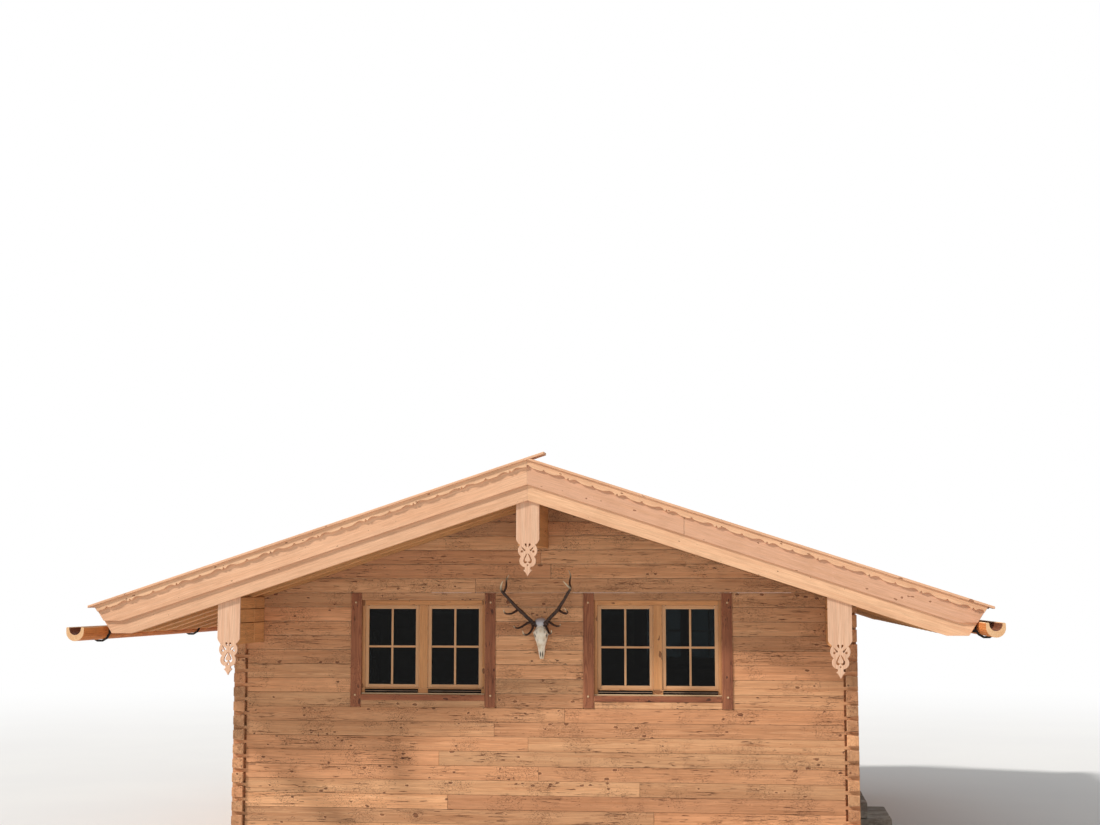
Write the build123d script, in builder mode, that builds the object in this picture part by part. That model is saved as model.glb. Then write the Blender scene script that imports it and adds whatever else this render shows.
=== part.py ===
from build123d import *
import math
import os

# Alpine chalet: a log house on a low plinth under a wide, low-pitched roof.
# X runs along the gable front, Y from the front into the depth, Z up, in millimetres.
# The origin lies on the ground under the middle of the house.

# Log walls
wall_width = 6800
wall_length = 8000
log_thick = 125
log_height = 155
plinth_height = 360
head_height = 112        # side-log head in the corner joint
head_proud = 30          # how far the side-log heads stand out of the gable walls
dovetail_flare = 5       # each side of a gable-log tail, from neck to end
course_count = 23        # gable courses up to the ridge
tail_courses = 13        # courses whose tails reach the corners, below the eaves purlins

# Plinth and floor
plinth_inset = 12
plinth_thick = 330
joist_width = 120
joist_height = 220
joist_count = 8
floor_thick = 30
floor_gap = 0.3

# Roof
roof_slope = 0.3261      # rise over run
rafter_foot = 3953       # underside of the rafters at the ridge
rafter_width = 120
rafter_depth = 180
inner_rafters = 15
deck_thick = 27
insulation_thick = 110
cover_thick = 75
verge_reach = 950        # outer face of the verge rafter, in front of the gable wall
eaves_reach = 4627       # top corner of the raked ends, from the ridge line
rake = 0.65              # run over rise of the raked ends
tail_drop = 281          # level cut under the rafter tails, below that corner
ridge_joint = 1          # gap where two pieces of one set meet at the ridge
eaves_board_thick = 24
ridge_board_width = 170

# Purlins
purlin_width = 200
ridge_purlin_foot = 3480
beam_height_1 = 225      # lowest of the three beams that make an eaves purlin
beam_height_2 = 147
beam_joint = 0.3

# Verge boards, from the lowest and innermost to the cap, heights above the rafter foot
lower_board_thick = 30
lower_board_drip = 6
middle_board_thick = 25
middle_board_foot = 160
middle_board_drop = 156  # level cut of its lower corner, below the raked end's top corner
upper_board_thick = 25
upper_board_foot = 342
cap_thick = 24
cap_width = 200
cap_proud = 20
cap_overhang = 63
cap_lap = 180            # the left cap runs on past the ridge

# Scalloped lower edge of the upper verge board: a long recess either side of a notch,
# then a cusp, over and over
scallop_pitch = 507      # from notch to notch, level
scallop_first_left = 174
scallop_first_right = 428
notch_half = 12
notch_rise = 13
lens_start = 24          # along the board, from the middle of the notch
lens_fade = 95
lens_fade_rise = 11
lens_end = 150
cusp_half = 44
cusp_waist = 17
cusp_waist_rise = 4
cusp_rise = 15

# Pendant boards on the purlin ends, with a fretted tail
pendant_width = 240
pendant_thick = 30
pendant_shoulder = 64    # straight part ends this far above the purlin foot
tail_neck = (79, -56)    # points of the tail's outline, from the middle of the shoulder
tail_lobe = (99, -122)
tail_pinch = (68, -177)
tail_lower_lobe = (85, -222)
tail_waist = (48, -281)
tail_notch = (27, -292)
tail_spike = (46, -316)
tail_barb = (22, -340)
tail_tip = (0, -379)
fret_crown = ((8, -44), (22, -64), 6)      # drop-shaped holes: tip, bulb and its radius
fret_slit = ((57, -78), (26, -116), 6)
fret_eye = (57, -127)
fret_eye_radius = 9
fret_bead = (0, -265)
fret_bead_radius = 8
fret_sides = 8
fret_tendril = [         # outline of the curling hole, from its upper tip
    (3, -143),
    (26, -178),
    (38, -222),
    (31, -240),
    (16, -241),
    (7, -226),
    (20, -230),
    (31, -216),
    (19, -178),
]

# Gutters, hollowed from a log, in forged hooks
gutter_width = 190
gutter_depth = 145
trough_width = 84
trough_depth = 97
gutter_offset = 3        # gutter's middle, beyond the top corner of the raked ends
gutter_reach = 1500
gutter_left_drop = 213   # rims below that corner
gutter_right_drop = 147
hook_bar = 22
hook_thick = 8
hook_gap = 0.3
hook_tip_drop = 40       # hook's tips below the gutter's rim
hook_bends = 12          # bends in a full turn of the bar
hook_arm_width = 30
hook_arm_drop = 261
hook_arm_rise = 30
hook_arm_length = 205
hook_rows = 3            # hooks along the wall, besides one behind each verge

# Windows
window_center = 1283
window_width = 1610      # hole in the logs
window_first_course = 9
window_courses = 8
post_width = 120
post_proud = 10
lintel_height = 80
sill_height = 137
frame_set_back = 30
frame_depth = 70
frame_jamb = 33
frame_head = 55
frame_foot = 68
frame_mullion = 97
sash_set_back = 12
sash_depth = 45
sash_member = 40
pane_thick = 6
rail_height = 40         # weather rail under each sash
rail_proud = 16
rail_inset = 8
rail_drop = 10
side_window_drop = 387.5
side_window_y = 2000

# Door in the right-hand wall
door_width = 1120        # hole in the logs
door_head = 2607.5
door_leaf_thick = 55
step_depth = 300
step_rise = 200
step_width = 1300

# Stag trophy on the front wall, turned a little to the left
trophy_foot = 2283       # tip of the muzzle
trophy_x = 32
trophy_turn = 3
trophy_gap = 0.3
antler_sides = 6
skull_sections = [       # height above the muzzle's tip, width, depth
    (0, 34, 34),
    (33, 61, 58),
    (93, 77, 75),
    (168, 103, 95),
    (243, 145, 115),
    (288, 168, 122),
    (363, 110, 116),
    (408, 122, 100),
    (438, 60, 56),
]
antler_branches = [      # stations of sideways, height, forward and radius
    [(50, 375, 70, 27), (126, 438, 140, 20), (199, 506, 210, 18), (256, 578, 300, 17), (370, 737, 450, 11)],
    [(362, 727, 440, 10), (352, 823, 380, 8), (338, 918, 300, 2)],
    [(362, 727, 440, 10), (369, 782, 510, 8), (338, 825, 560, 2)],
    [(205, 515, 220, 12), (268, 502, 330, 10), (317, 487, 430, 7), (335, 527, 480, 2)],
    [(70, 392, 90, 13), (168, 352, 190, 10), (221, 337, 265, 8), (255, 355, 340, 2)],
    [(60, 378, 85, 13), (92, 297, 170, 10), (126, 265, 240, 8), (156, 287, 310, 2)],
]

# Worked out from the above
half_width = wall_width / 2
half_length = wall_length / 2
inner_x = half_width - log_thick
inner_y = half_length - log_thick
slope_angle = math.atan(roof_slope)
upright = 1 / math.cos(slope_angle)
wall_slack = 500
deck_foot = rafter_foot + rafter_depth * upright
insulation_foot = deck_foot + deck_thick * upright
cover_foot = insulation_foot + insulation_thick * upright
cap_foot = cover_foot + cover_thick * upright
eaves_height = cap_foot - roof_slope * eaves_reach
tail_cut = eaves_height - tail_drop
cap_tip = eaves_reach + cap_overhang
gutter_center = eaves_reach + gutter_offset
verge_face = half_length + verge_reach
board_face_1 = verge_face + lower_board_thick
board_face_2 = board_face_1 + middle_board_thick
board_face_3 = board_face_2 + upper_board_thick
cap_face = board_face_3 + cap_proud
purlin_reach = verge_face - pendant_thick
eaves_purlin_x = inner_x - purlin_width / 2
eaves_purlin_foot = plinth_height + (tail_courses + 0.5) * log_height
tail_height = log_height - head_height
floor_foot = plinth_height + joist_height
floor_top = floor_foot + floor_thick
window_foot = plinth_height + window_first_course * log_height
window_height = window_courses * log_height
frame_width = window_width - 2 * post_width
frame_height = window_height - sill_height - lintel_height
sash_width = (frame_width - 2 * frame_jamb - frame_mullion) / 2
sash_height = frame_height - frame_head - frame_foot
side_window_foot = window_foot - side_window_drop


def rake_x(z):
    """Where the raked eaves end lies at a height, from the ridge line."""
    return eaves_reach + rake * (z - eaves_height)


def slope_z(foot, x):
    """Height at a distance from the ridge line of a plane that has the height foot at the ridge."""
    return foot - roof_slope * abs(x)


def rake_end(foot, set_back=0):
    """Corner where a plane of the roof meets the raked end, or a line set back from it."""
    x = (eaves_reach - set_back + rake * (foot - eaves_height)) / (1 + rake * roof_slope)
    return x, slope_z(foot, x)


def slope_outline(foot, top, side, level_cut=None, start=0, set_back=0):
    """Side outline of a roof member between two planes, from the ridge to the raked end."""
    points = [(start, slope_z(foot, start)), (start, slope_z(top, start)), rake_end(top, set_back)]
    if level_cut is None:
        points.append(rake_end(foot, set_back))
    else:
        points.append((rake_x(level_cut), level_cut))
        points.append(((foot - level_cut) / roof_slope, level_cut))
    return [(side * x, z) for x, z in points]


def gable_plane(y):
    """Plane across the house at y, drawn as seen from the front, normal towards the back."""
    return Plane(origin=(0, y, 0), x_dir=(1, 0, 0), z_dir=(0, -1, 0))


def eaves_plane(x):
    """Plane along the house at x, drawn with Y to the right and Z up, normal towards +X."""
    return Plane(origin=(x, 0, 0), x_dir=(0, 1, 0), z_dir=(1, 0, 0))


def tail_outline(course, side):
    """Dovetail at the end of a gable log, thicker at its end than at its neck."""
    middle = plinth_height + (course + 0.5) * log_height
    neck = tail_height / 2 - dovetail_flare
    end = tail_height / 2 + dovetail_flare
    return [
        (side * inner_x, middle - neck),
        (side * half_width, middle - end),
        (side * half_width, middle + end),
        (side * inner_x, middle + neck),
    ]


def gable_logs(first):
    """Sketch of every second course of a gable wall, from the course first."""
    with BuildSketch() as courses:
        for course in range(first, course_count, 2):
            foot = plinth_height + course * log_height
            with Locations((0, foot + log_height / 2)):
                Rectangle(2 * inner_x, log_height)
            if course < tail_courses:
                for side in (-1, 1):
                    with BuildLine():
                        Polyline(*tail_outline(course, side), close=True)
                    make_face()
        for side in (-1, 1):
            with Locations((side * window_center, window_foot + window_height / 2)):
                Rectangle(window_width, window_height, mode=Mode.SUBTRACT)
            with Locations((side * eaves_purlin_x, eaves_purlin_foot + wall_slack)):
                Rectangle(purlin_width, 2 * wall_slack, mode=Mode.SUBTRACT)
        with Locations((0, ridge_purlin_foot + wall_slack)):
            Rectangle(purlin_width, 2 * wall_slack, mode=Mode.SUBTRACT)
        with BuildLine():
            Polyline(
                (-half_width, 0),
                (half_width, 0),
                (half_width, slope_z(rafter_foot, half_width)),
                (0, rafter_foot),
                (-half_width, slope_z(rafter_foot, half_width)),
                close=True,
            )
        make_face(mode=Mode.INTERSECT)
    return courses.sketch


def side_wall(side, first, openings):
    """Every second course of a side wall, notched at both ends for the gable-log tails."""
    with BuildPart() as wall:
        with BuildSketch(eaves_plane(side * half_width)):
            reach = half_length + head_proud
            foot = plinth_height + (first - 0.5) * log_height
            while foot < slope_z(rafter_foot, inner_x):
                low = max(foot, plinth_height)
                with Locations((0, (low + foot + log_height) / 2)):
                    Rectangle(2 * reach, foot + log_height - low)
                foot += 2 * log_height
            for middle, width, bottom, top in openings:
                with Locations((middle, (bottom + top) / 2)):
                    Rectangle(width, top - bottom, mode=Mode.SUBTRACT)
        extrude(amount=-side * log_thick)
        for end in (-1, 1):
            with BuildSketch(gable_plane(end * (half_length + head_proud))):
                for course in range(tail_courses):
                    with BuildLine():
                        Polyline(*tail_outline(course, side), close=True)
                    make_face()
            extrude(amount=end * (log_thick + head_proud), mode=Mode.SUBTRACT)
        with BuildSketch(gable_plane(-half_length - wall_slack)):
            with BuildLine():
                Polyline(
                    (0, rafter_foot),
                    (side * 2 * half_width, slope_z(rafter_foot, 2 * half_width)),
                    (side * 2 * half_width, rafter_foot),
                    close=True,
                )
            make_face()
        extrude(amount=-2 * (half_length + wall_slack), mode=Mode.SUBTRACT)
    return wall.part


def trough(middle, rim, width, depth):
    """Sketch of a U with upright sides and a round bottom, closed at its rim."""
    left = middle - width / 2
    right = middle + width / 2
    bend = rim - depth + width / 2
    with BuildSketch() as outline:
        with BuildLine():
            Line((left, rim), (left, bend))
            ThreePointArc((left, bend), (middle, rim - depth), (right, bend))
            Line((right, bend), (right, rim))
            Line((right, rim), (left, rim))
        make_face()
    return outline.sketch


def bent_trough(middle, rim, width, depth, bends):
    """Sketch of a trough's U, its bottom bent in flat strokes just outside the round."""
    with BuildSketch() as outline:
        with Locations((middle, rim - depth + width / 2)):
            RegularPolygon(width / 2, bends, major_radius=False, rotation=180 / bends)
        with Locations((middle, rim - depth + width)):
            Rectangle(width, width)
        with Locations((middle, rim + width)):
            Rectangle(2 * width, 2 * width, mode=Mode.SUBTRACT)
    return outline.sketch


def scallop_recess():
    """Sketch of a notch and the long recess either side; the origin is on the board's lower edge."""
    with BuildSketch() as recess:
        with BuildLine():
            Polyline((-notch_half, 0), (0, notch_rise), (notch_half, 0), close=True)
        make_face()
        for side in (-1, 1):
            with BuildLine():
                fade = Line((side * lens_end, 0), (side * lens_fade, lens_fade_rise))
                TangentArc(fade @ 1, (side * lens_start, 0), tangent=fade % 1)
                Line((side * lens_start, 0), (side * lens_end, 0))
            make_face()
    return recess.sketch


def scallop_cusp():
    """Sketch of a small pointed recess; the origin is on the board's lower edge."""
    with BuildSketch() as cusp:
        with BuildLine():
            Polyline(
                (-cusp_half, 0),
                (-cusp_waist, cusp_waist_rise),
                (0, cusp_rise),
                (cusp_waist, cusp_waist_rise),
                (cusp_half, 0),
                close=True,
            )
        make_face()
    return cusp.sketch


def drop_hole(tip, bulb, radius):
    """Sketch of a hole with a pointed tip and a round bulb."""
    axis = Vector(*bulb) - Vector(*tip)
    spread = 90 + math.degrees(math.asin(radius / axis.length))
    reach = axis.normalized() * radius
    rim = [Vector(*bulb) + reach.rotate(Axis.Z, turn * spread) for turn in (1, 1 / 3, -1 / 3, -1)]
    with BuildSketch() as hole:
        with BuildLine():
            Polyline(Vector(*tip), *rim, close=True)
        make_face()
    return hole.sketch


def on_side(side, point):
    """The point, or its mirror image about the pendant's middle."""
    return side * point[0], point[1]


def pendant_tail():
    """Sketch of the fretted tail; the origin is the middle of the pendant's shoulder line."""
    with BuildSketch() as tail:
        with BuildLine():
            Line((0, 0), (pendant_width / 2, 0))
            ThreePointArc((pendant_width / 2, 0), (pendant_width / 2 - 13, -27), tail_neck)
            ThreePointArc(tail_neck, tail_lobe, tail_pinch)
            ThreePointArc(tail_pinch, tail_lower_lobe, tail_waist)
            ThreePointArc(tail_waist, tail_notch, tail_spike)
            Line(tail_spike, tail_barb)
            Line(tail_barb, tail_tip)
            mirror(about=Plane.YZ)
        make_face()
        for side in (-1, 1):
            for tip, bulb, radius in (fret_crown, fret_slit):
                add(drop_hole(on_side(side, tip), on_side(side, bulb), radius), mode=Mode.SUBTRACT)
            with Locations(on_side(side, fret_eye)):
                RegularPolygon(fret_eye_radius, fret_sides, mode=Mode.SUBTRACT)
            with BuildLine():
                Polyline(*[on_side(side, point) for point in fret_tendril], close=True)
            make_face(mode=Mode.SUBTRACT)
        with Locations(fret_bead):
            RegularPolygon(fret_bead_radius, fret_sides, mode=Mode.SUBTRACT)
    return tail.sketch


def antler_branch(place, side, stations):
    """Tapering branch of an antler, through polygons square to its run."""
    centres = [
        place.from_local_coords(Vector(side * out, -forward, height))
        for out, height, forward, _ in stations
    ]
    with BuildPart() as branch:
        for k, (_, _, _, radius) in enumerate(stations):
            run = centres[min(k + 1, len(centres) - 1)] - centres[max(k - 1, 0)]
            across = run.cross(Vector(0, 1, 0))
            with BuildSketch(Plane(origin=centres[k], x_dir=across, z_dir=run)):
                RegularPolygon(radius, antler_sides)
        loft(ruled=True)
    return branch.part


os.makedirs("parts", exist_ok=True)


def save(part, name):
    """Label a finished piece and write its STEP file."""
    part.label = name
    export_step(part, f"parts/{name}.step")


# Plinth under the walls: the two long sides, and the two ends between them
plinth_x = half_width - plinth_inset
plinth_y = half_length - plinth_inset
with BuildPart() as plinth_sides:
    for side in (-1, 1):
        with Locations((side * (plinth_x - plinth_thick / 2), 0, plinth_height / 2)):
            Box(plinth_thick, 2 * plinth_y, plinth_height)
save(plinth_sides.part, "plinth_sides")

with BuildPart() as plinth_ends:
    for end in (-1, 1):
        with Locations((0, end * (plinth_y - plinth_thick / 2), plinth_height / 2)):
            Box(2 * (plinth_x - plinth_thick), plinth_thick, plinth_height)
save(plinth_ends.part, "plinth_ends")

# Joists lie on the plinth inside the logs and carry the floor boards
with BuildPart() as floor_joists:
    joist_span = 2 * (inner_y - floor_gap) - joist_width
    with Locations((0, 0, plinth_height + joist_height / 2)):
        with GridLocations(0, joist_span / (joist_count - 1), 1, joist_count):
            Box(2 * (inner_x - floor_gap), joist_width, joist_height)
save(floor_joists.part, "floor_joists")

with BuildPart() as floor_boards:
    with Locations((0, 0, floor_foot + floor_thick / 2)):
        Box(2 * (inner_x - floor_gap), 2 * (inner_y - floor_gap), floor_thick)
save(floor_boards.part, "floor_boards")

# Gable walls: odd and even courses are separate pieces, so that stacked logs stay separate
for wall_name, wall_face, inward in (("front", -half_length, -1), ("back", half_length, 1)):
    for set_name, first_course in (("a", 0), ("b", 1)):
        with BuildPart() as gable_wall:
            with BuildSketch(gable_plane(wall_face)):
                add(gable_logs(first_course))
            extrude(amount=inward * log_thick)
        save(gable_wall.part, f"{wall_name}_logs_{set_name}")

# Side walls: two windows each, and the door in the right-hand wall
side_windows = [
    (y, window_width, side_window_foot, side_window_foot + window_height)
    for y in (-side_window_y, side_window_y)
]
doorway = [(0, door_width, plinth_height + 1.5 * log_height, door_head)]
for wall_name, side, wall_openings in (
    ("left", -1, side_windows),
    ("right", 1, side_windows + doorway),
):
    for set_name, first_course in (("a", 0), ("b", 1)):
        save(side_wall(side, first_course, wall_openings), f"{wall_name}_logs_{set_name}")

# Purlins run through the house and out to the verges, bevelled to the roof slope
with BuildPart() as ridge_purlin:
    with BuildSketch(gable_plane(-purlin_reach)):
        with BuildLine():
            Polyline(
                (-purlin_width / 2, ridge_purlin_foot),
                (purlin_width / 2, ridge_purlin_foot),
                (purlin_width / 2, slope_z(rafter_foot, purlin_width / 2)),
                (0, rafter_foot),
                (-purlin_width / 2, slope_z(rafter_foot, purlin_width / 2)),
                close=True,
            )
        make_face()
    extrude(amount=-2 * purlin_reach)
save(ridge_purlin.part, "ridge_purlin")

# Each eaves purlin is three beams on one another
beam_joints = [
    eaves_purlin_foot + beam_height_1,
    eaves_purlin_foot + beam_height_1 + beam_height_2,
]
for purlin_name, side in (("left_purlin", -1), ("right_purlin", 1)):
    with BuildPart() as eaves_purlin:
        inner_side = eaves_purlin_x - purlin_width / 2
        with BuildSketch(gable_plane(-purlin_reach)):
            with BuildLine():
                Polyline(
                    (side * inner_side, eaves_purlin_foot),
                    (side * inner_x, eaves_purlin_foot),
                    (side * inner_x, slope_z(rafter_foot, inner_x)),
                    (side * inner_side, slope_z(rafter_foot, inner_side)),
                    close=True,
                )
            make_face()
            for joint in beam_joints:
                with Locations((side * eaves_purlin_x, joint)):
                    Rectangle(purlin_width, beam_joint, mode=Mode.SUBTRACT)
        extrude(amount=-2 * purlin_reach)
    save(eaves_purlin.part, purlin_name)

# Rafters: over the gable walls, evenly between them, and two pairs in front of each gable
wall_rafter = half_length - log_thick / 2
verge_rafter = verge_face - rafter_width / 2
rafter_pitch = 2 * wall_rafter / (inner_rafters + 1)
rafter_rows = [-wall_rafter + n * rafter_pitch for n in range(inner_rafters + 2)]
for outer_row in (verge_rafter, (verge_rafter + wall_rafter) / 2):
    rafter_rows += [-outer_row, outer_row]
with BuildPart() as rafters:
    for row in rafter_rows:
        for side in (-1, 1):
            with BuildSketch(gable_plane(row - rafter_width / 2)):
                with BuildLine():
                    Polyline(
                        *slope_outline(rafter_foot, deck_foot, side, tail_cut, ridge_joint / 2),
                        close=True,
                    )
                make_face()
            extrude(amount=-rafter_width)
save(rafters.part, "rafters")

# Roof layers on each slope: soffit deck, insulation boards and the shingle cover
for layer_name, low, high, set_back in (
    ("deck", deck_foot, insulation_foot, 0),
    ("insulation", insulation_foot, cover_foot, eaves_board_thick),
    ("cover", cover_foot, cap_foot, 0),
):
    for side_name, side in (("left", -1), ("right", 1)):
        with BuildPart() as layer:
            with BuildSketch(gable_plane(-verge_face)):
                with BuildLine():
                    Polyline(*slope_outline(low, high, side, set_back=set_back), close=True)
                make_face()
            extrude(amount=-2 * verge_face)
        save(layer.part, f"{layer_name}_{side_name}")

# Eaves boards close the ends of the insulation
with BuildPart() as eaves_boards:
    with BuildSketch(gable_plane(-verge_face)):
        for side in (-1, 1):
            corners = [
                rake_end(insulation_foot, eaves_board_thick),
                rake_end(cover_foot, eaves_board_thick),
                rake_end(cover_foot),
                rake_end(insulation_foot),
            ]
            with BuildLine():
                Polyline(*[(side * x, z) for x, z in corners], close=True)
            make_face()
    extrude(amount=-2 * verge_face)
save(eaves_boards.part, "eaves_boards")

# Ridge boards lie on the cover between the verge caps
cap_top = cap_foot + cap_thick * upright
ridge_board_reach = cap_face - cap_width
with BuildPart() as ridge_boards:
    with BuildSketch(gable_plane(-ridge_board_reach)):
        for side in (-1, 1):
            corners = [
                (ridge_joint / 2, slope_z(cap_foot, ridge_joint / 2)),
                (ridge_joint / 2, slope_z(cap_top, ridge_joint / 2)),
                (ridge_board_width, slope_z(cap_top, ridge_board_width)),
                (ridge_board_width, slope_z(cap_foot, ridge_board_width)),
            ]
            with BuildLine():
                Polyline(*[(side * x, z) for x, z in corners], close=True)
            make_face()
    extrude(amount=-2 * ridge_board_reach)
save(ridge_boards.part, "ridge_boards")

# Verge boards, each standing proud of the one below it, on both gables
for gable_name, end in (("front", -1), ("back", 1)):
    for board_name, back, face, foot, cut in (
        ("lower", verge_face, board_face_1, rafter_foot - lower_board_drip, tail_cut - lower_board_drip),
        (
            "middle",
            board_face_1,
            board_face_2,
            rafter_foot + middle_board_foot,
            eaves_height - middle_board_drop,
        ),
    ):
        with BuildPart() as verge_board:
            for side in (-1, 1):
                with BuildSketch(gable_plane(end * back)):
                    with BuildLine():
                        Polyline(*slope_outline(foot, cap_foot, side, cut, ridge_joint / 2), close=True)
                    make_face()
                extrude(amount=-end * (face - back))
        save(verge_board.part, f"{board_name}_verge_{gable_name}")

# The upper verge boards have a scalloped lower edge
upper_foot = rafter_foot + upper_board_foot
upper_end = rake_end(upper_foot)[0]
recess = scallop_recess()
cusp = scallop_cusp()
for gable_name, end in (("front", -1), ("back", 1)):
    with BuildPart() as scalloped_board:
        for side, first in ((-1, scallop_first_left), (1, scallop_first_right)):
            notches = [first + n * scallop_pitch for n in range(int((upper_end - first) // scallop_pitch) + 1)]
            cusps = [u + scallop_pitch / 2 for u in [first - scallop_pitch] + notches]
            tilt = -side * math.degrees(slope_angle)
            with BuildSketch(gable_plane(end * board_face_2)):
                with BuildLine():
                    Polyline(*slope_outline(upper_foot, cap_foot, side, start=ridge_joint / 2), close=True)
                make_face()
                for u in notches:
                    with Locations(Location((side * u, slope_z(upper_foot, u)), tilt)):
                        add(recess, mode=Mode.SUBTRACT)
                for u in cusps:
                    if cusp_half < u < upper_end - cusp_half:
                        with Locations(Location((side * u, slope_z(upper_foot, u)), tilt)):
                            add(cusp, mode=Mode.SUBTRACT)
            extrude(amount=-end * upper_board_thick)
    save(scalloped_board.part, f"upper_verge_{gable_name}")

# Caps lie flat on the verge; the left cap runs on past the ridge over the right one
lap_joint = ridge_joint * upright
for gable_name, end in (("front", -1), ("back", 1)):
    with BuildPart() as verge_cap:
        with BuildSketch(gable_plane(end * cap_face)):
            with BuildLine():
                Polyline(
                    (-cap_tip, slope_z(cap_foot, cap_tip)),
                    (cap_lap, cap_foot + roof_slope * cap_lap),
                    (cap_lap, cap_top + roof_slope * cap_lap),
                    (-cap_tip, slope_z(cap_top, cap_tip)),
                    close=True,
                )
            make_face()
            with BuildLine():
                meeting = (cap_top - cap_foot + lap_joint) / (2 * roof_slope)
                Polyline(
                    (lap_joint / roof_slope, cap_foot - lap_joint),
                    (meeting, cap_foot + roof_slope * meeting - lap_joint),
                    (cap_tip, slope_z(cap_top, cap_tip)),
                    (cap_tip, slope_z(cap_foot, cap_tip)),
                    close=True,
                )
            make_face()
        extrude(amount=end * cap_width)
    save(verge_cap.part, f"verge_cap_{gable_name}")

# Pendant boards cover the purlin ends
tail = pendant_tail()
for gable_name, end in (("front", -1), ("back", 1)):
    with BuildPart() as pendants:
        for middle, purlin_foot in (
            (-eaves_purlin_x, eaves_purlin_foot),
            (0, ridge_purlin_foot),
            (eaves_purlin_x, eaves_purlin_foot),
        ):
            shoulder = purlin_foot + pendant_shoulder
            half = pendant_width / 2
            with BuildSketch(gable_plane(end * purlin_reach)):
                with BuildLine():
                    Polyline(
                        (middle - half, slope_z(rafter_foot, middle - half)),
                        (middle - half, shoulder),
                        (middle + half, shoulder),
                        (middle + half, slope_z(rafter_foot, middle + half)),
                        (middle, slope_z(rafter_foot, middle)),
                        close=True,
                    )
                make_face()
                with Locations((middle, shoulder)):
                    add(tail)
            extrude(amount=-end * pendant_thick)
    save(pendants.part, f"pendants_{gable_name}")

# Gutters hollowed from a log
gutter_half = half_length + gutter_reach
gutter_sides = (
    ("left_gutter", -1, eaves_height - gutter_left_drop),
    ("right_gutter", 1, eaves_height - gutter_right_drop),
)
for gutter_name, side, rim in gutter_sides:
    with BuildPart() as gutter:
        with BuildSketch(gable_plane(-gutter_half)):
            add(trough(side * gutter_center, rim, gutter_width, gutter_depth))
            add(trough(side * gutter_center, rim, trough_width, trough_depth), mode=Mode.SUBTRACT)
        extrude(amount=-2 * gutter_half)
    save(gutter.part, gutter_name)

# Forged hooks on the sides of rafters hang the gutters, the outermost behind the verge boards
hook_seat = gutter_center - gutter_width / 2 - hook_gap
arm_foot = eaves_height - hook_arm_drop
hook_arm = [
    (hook_seat, arm_foot),
    (hook_seat, arm_foot + hook_arm_width),
    (hook_seat - hook_arm_length, arm_foot + hook_arm_rise + hook_arm_width),
    (hook_seat - hook_arm_length, arm_foot + hook_arm_rise),
]
hook_step = (inner_rafters + 1) // (hook_rows + 1)
verge_hook = verge_rafter - rafter_width / 2
hook_places = [-verge_hook, verge_hook - hook_thick]
for n in range(hook_rows):
    row = (n - (hook_rows - 1) / 2) * hook_step * rafter_pitch
    hook_places.append(row + rafter_width / 2)
with BuildPart() as gutter_hooks:
    for _, side, rim in gutter_sides:
        tip = rim - hook_tip_drop
        bar_space = hook_gap + hook_bar
        for y in hook_places:
            with BuildSketch(gable_plane(y)):
                add(
                    bent_trough(
                        side * gutter_center,
                        tip,
                        gutter_width + 2 * bar_space,
                        gutter_depth - hook_tip_drop + bar_space,
                        hook_bends,
                    )
                )
                with BuildLine():
                    Polyline(*[(side * x, z) for x, z in hook_arm], close=True)
                make_face()
                add(
                    bent_trough(
                        side * gutter_center,
                        rim,
                        gutter_width + 2 * hook_gap,
                        gutter_depth + hook_gap,
                        hook_bends,
                    ),
                    mode=Mode.SUBTRACT,
                )
            extrude(amount=-hook_thick)
save(gutter_hooks.part, "gutter_hooks")

# Windows: lining of posts, lintel and sill; pine frame with a mullion; sashes; panes
window_places = []
for end in (-1, 1):
    for side in (-1, 1):
        window_places.append(
            Plane(
                origin=(side * window_center, end * half_length, window_foot),
                x_dir=(-end, 0, 0),
                z_dir=(0, end, 0),
            )
        )
for side in (-1, 1):
    for y in (-side_window_y, side_window_y):
        window_places.append(
            Plane(
                origin=(side * half_width, y, side_window_foot),
                x_dir=(0, side, 0),
                z_dir=(side, 0, 0),
            )
        )
door_place = Plane(origin=(half_width, 0, 0), x_dir=(0, 1, 0), z_dir=(1, 0, 0))

with BuildPart() as window_linings:
    for place in window_places:
        with BuildSketch(place.offset(post_proud)):
            with Locations((0, window_height / 2)):
                Rectangle(window_width, window_height)
            with Locations((0, sill_height + frame_height / 2)):
                Rectangle(frame_width, frame_height, mode=Mode.SUBTRACT)
        extrude(amount=-(log_thick + post_proud))
save(window_linings.part, "window_linings")

with BuildPart() as window_frames:
    for place in window_places:
        with BuildSketch(place.offset(-frame_set_back)):
            with Locations((0, sill_height + frame_height / 2)):
                Rectangle(frame_width, frame_height)
            for side in (-1, 1):
                sash_middle = side * (frame_mullion + sash_width) / 2
                with Locations((sash_middle, sill_height + frame_foot + sash_height / 2)):
                    Rectangle(sash_width, sash_height, mode=Mode.SUBTRACT)
        extrude(amount=-frame_depth)
save(window_frames.part, "window_frames")

with BuildPart() as window_sashes:
    for place in window_places:
        with BuildSketch(place.offset(-frame_set_back - sash_set_back)):
            for side in (-1, 1):
                sash_middle = side * (frame_mullion + sash_width) / 2
                with Locations((sash_middle, sill_height + frame_foot + sash_height / 2)):
                    Rectangle(sash_width, sash_height)
                    Rectangle(sash_width - 2 * sash_member, sash_height - 2 * sash_member, mode=Mode.SUBTRACT)
        extrude(amount=-sash_depth)
save(window_sashes.part, "window_sashes")

with BuildPart() as window_panes:
    for place in window_places:
        with BuildSketch(place.offset(-frame_set_back - sash_set_back - (sash_depth - pane_thick) / 2)):
            for side in (-1, 1):
                sash_middle = side * (frame_mullion + sash_width) / 2
                with Locations((sash_middle, sill_height + frame_foot + sash_height / 2)):
                    Rectangle(sash_width - 2 * sash_member, sash_height - 2 * sash_member)
        extrude(amount=-pane_thick)
save(window_panes.part, "window_panes")

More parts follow.
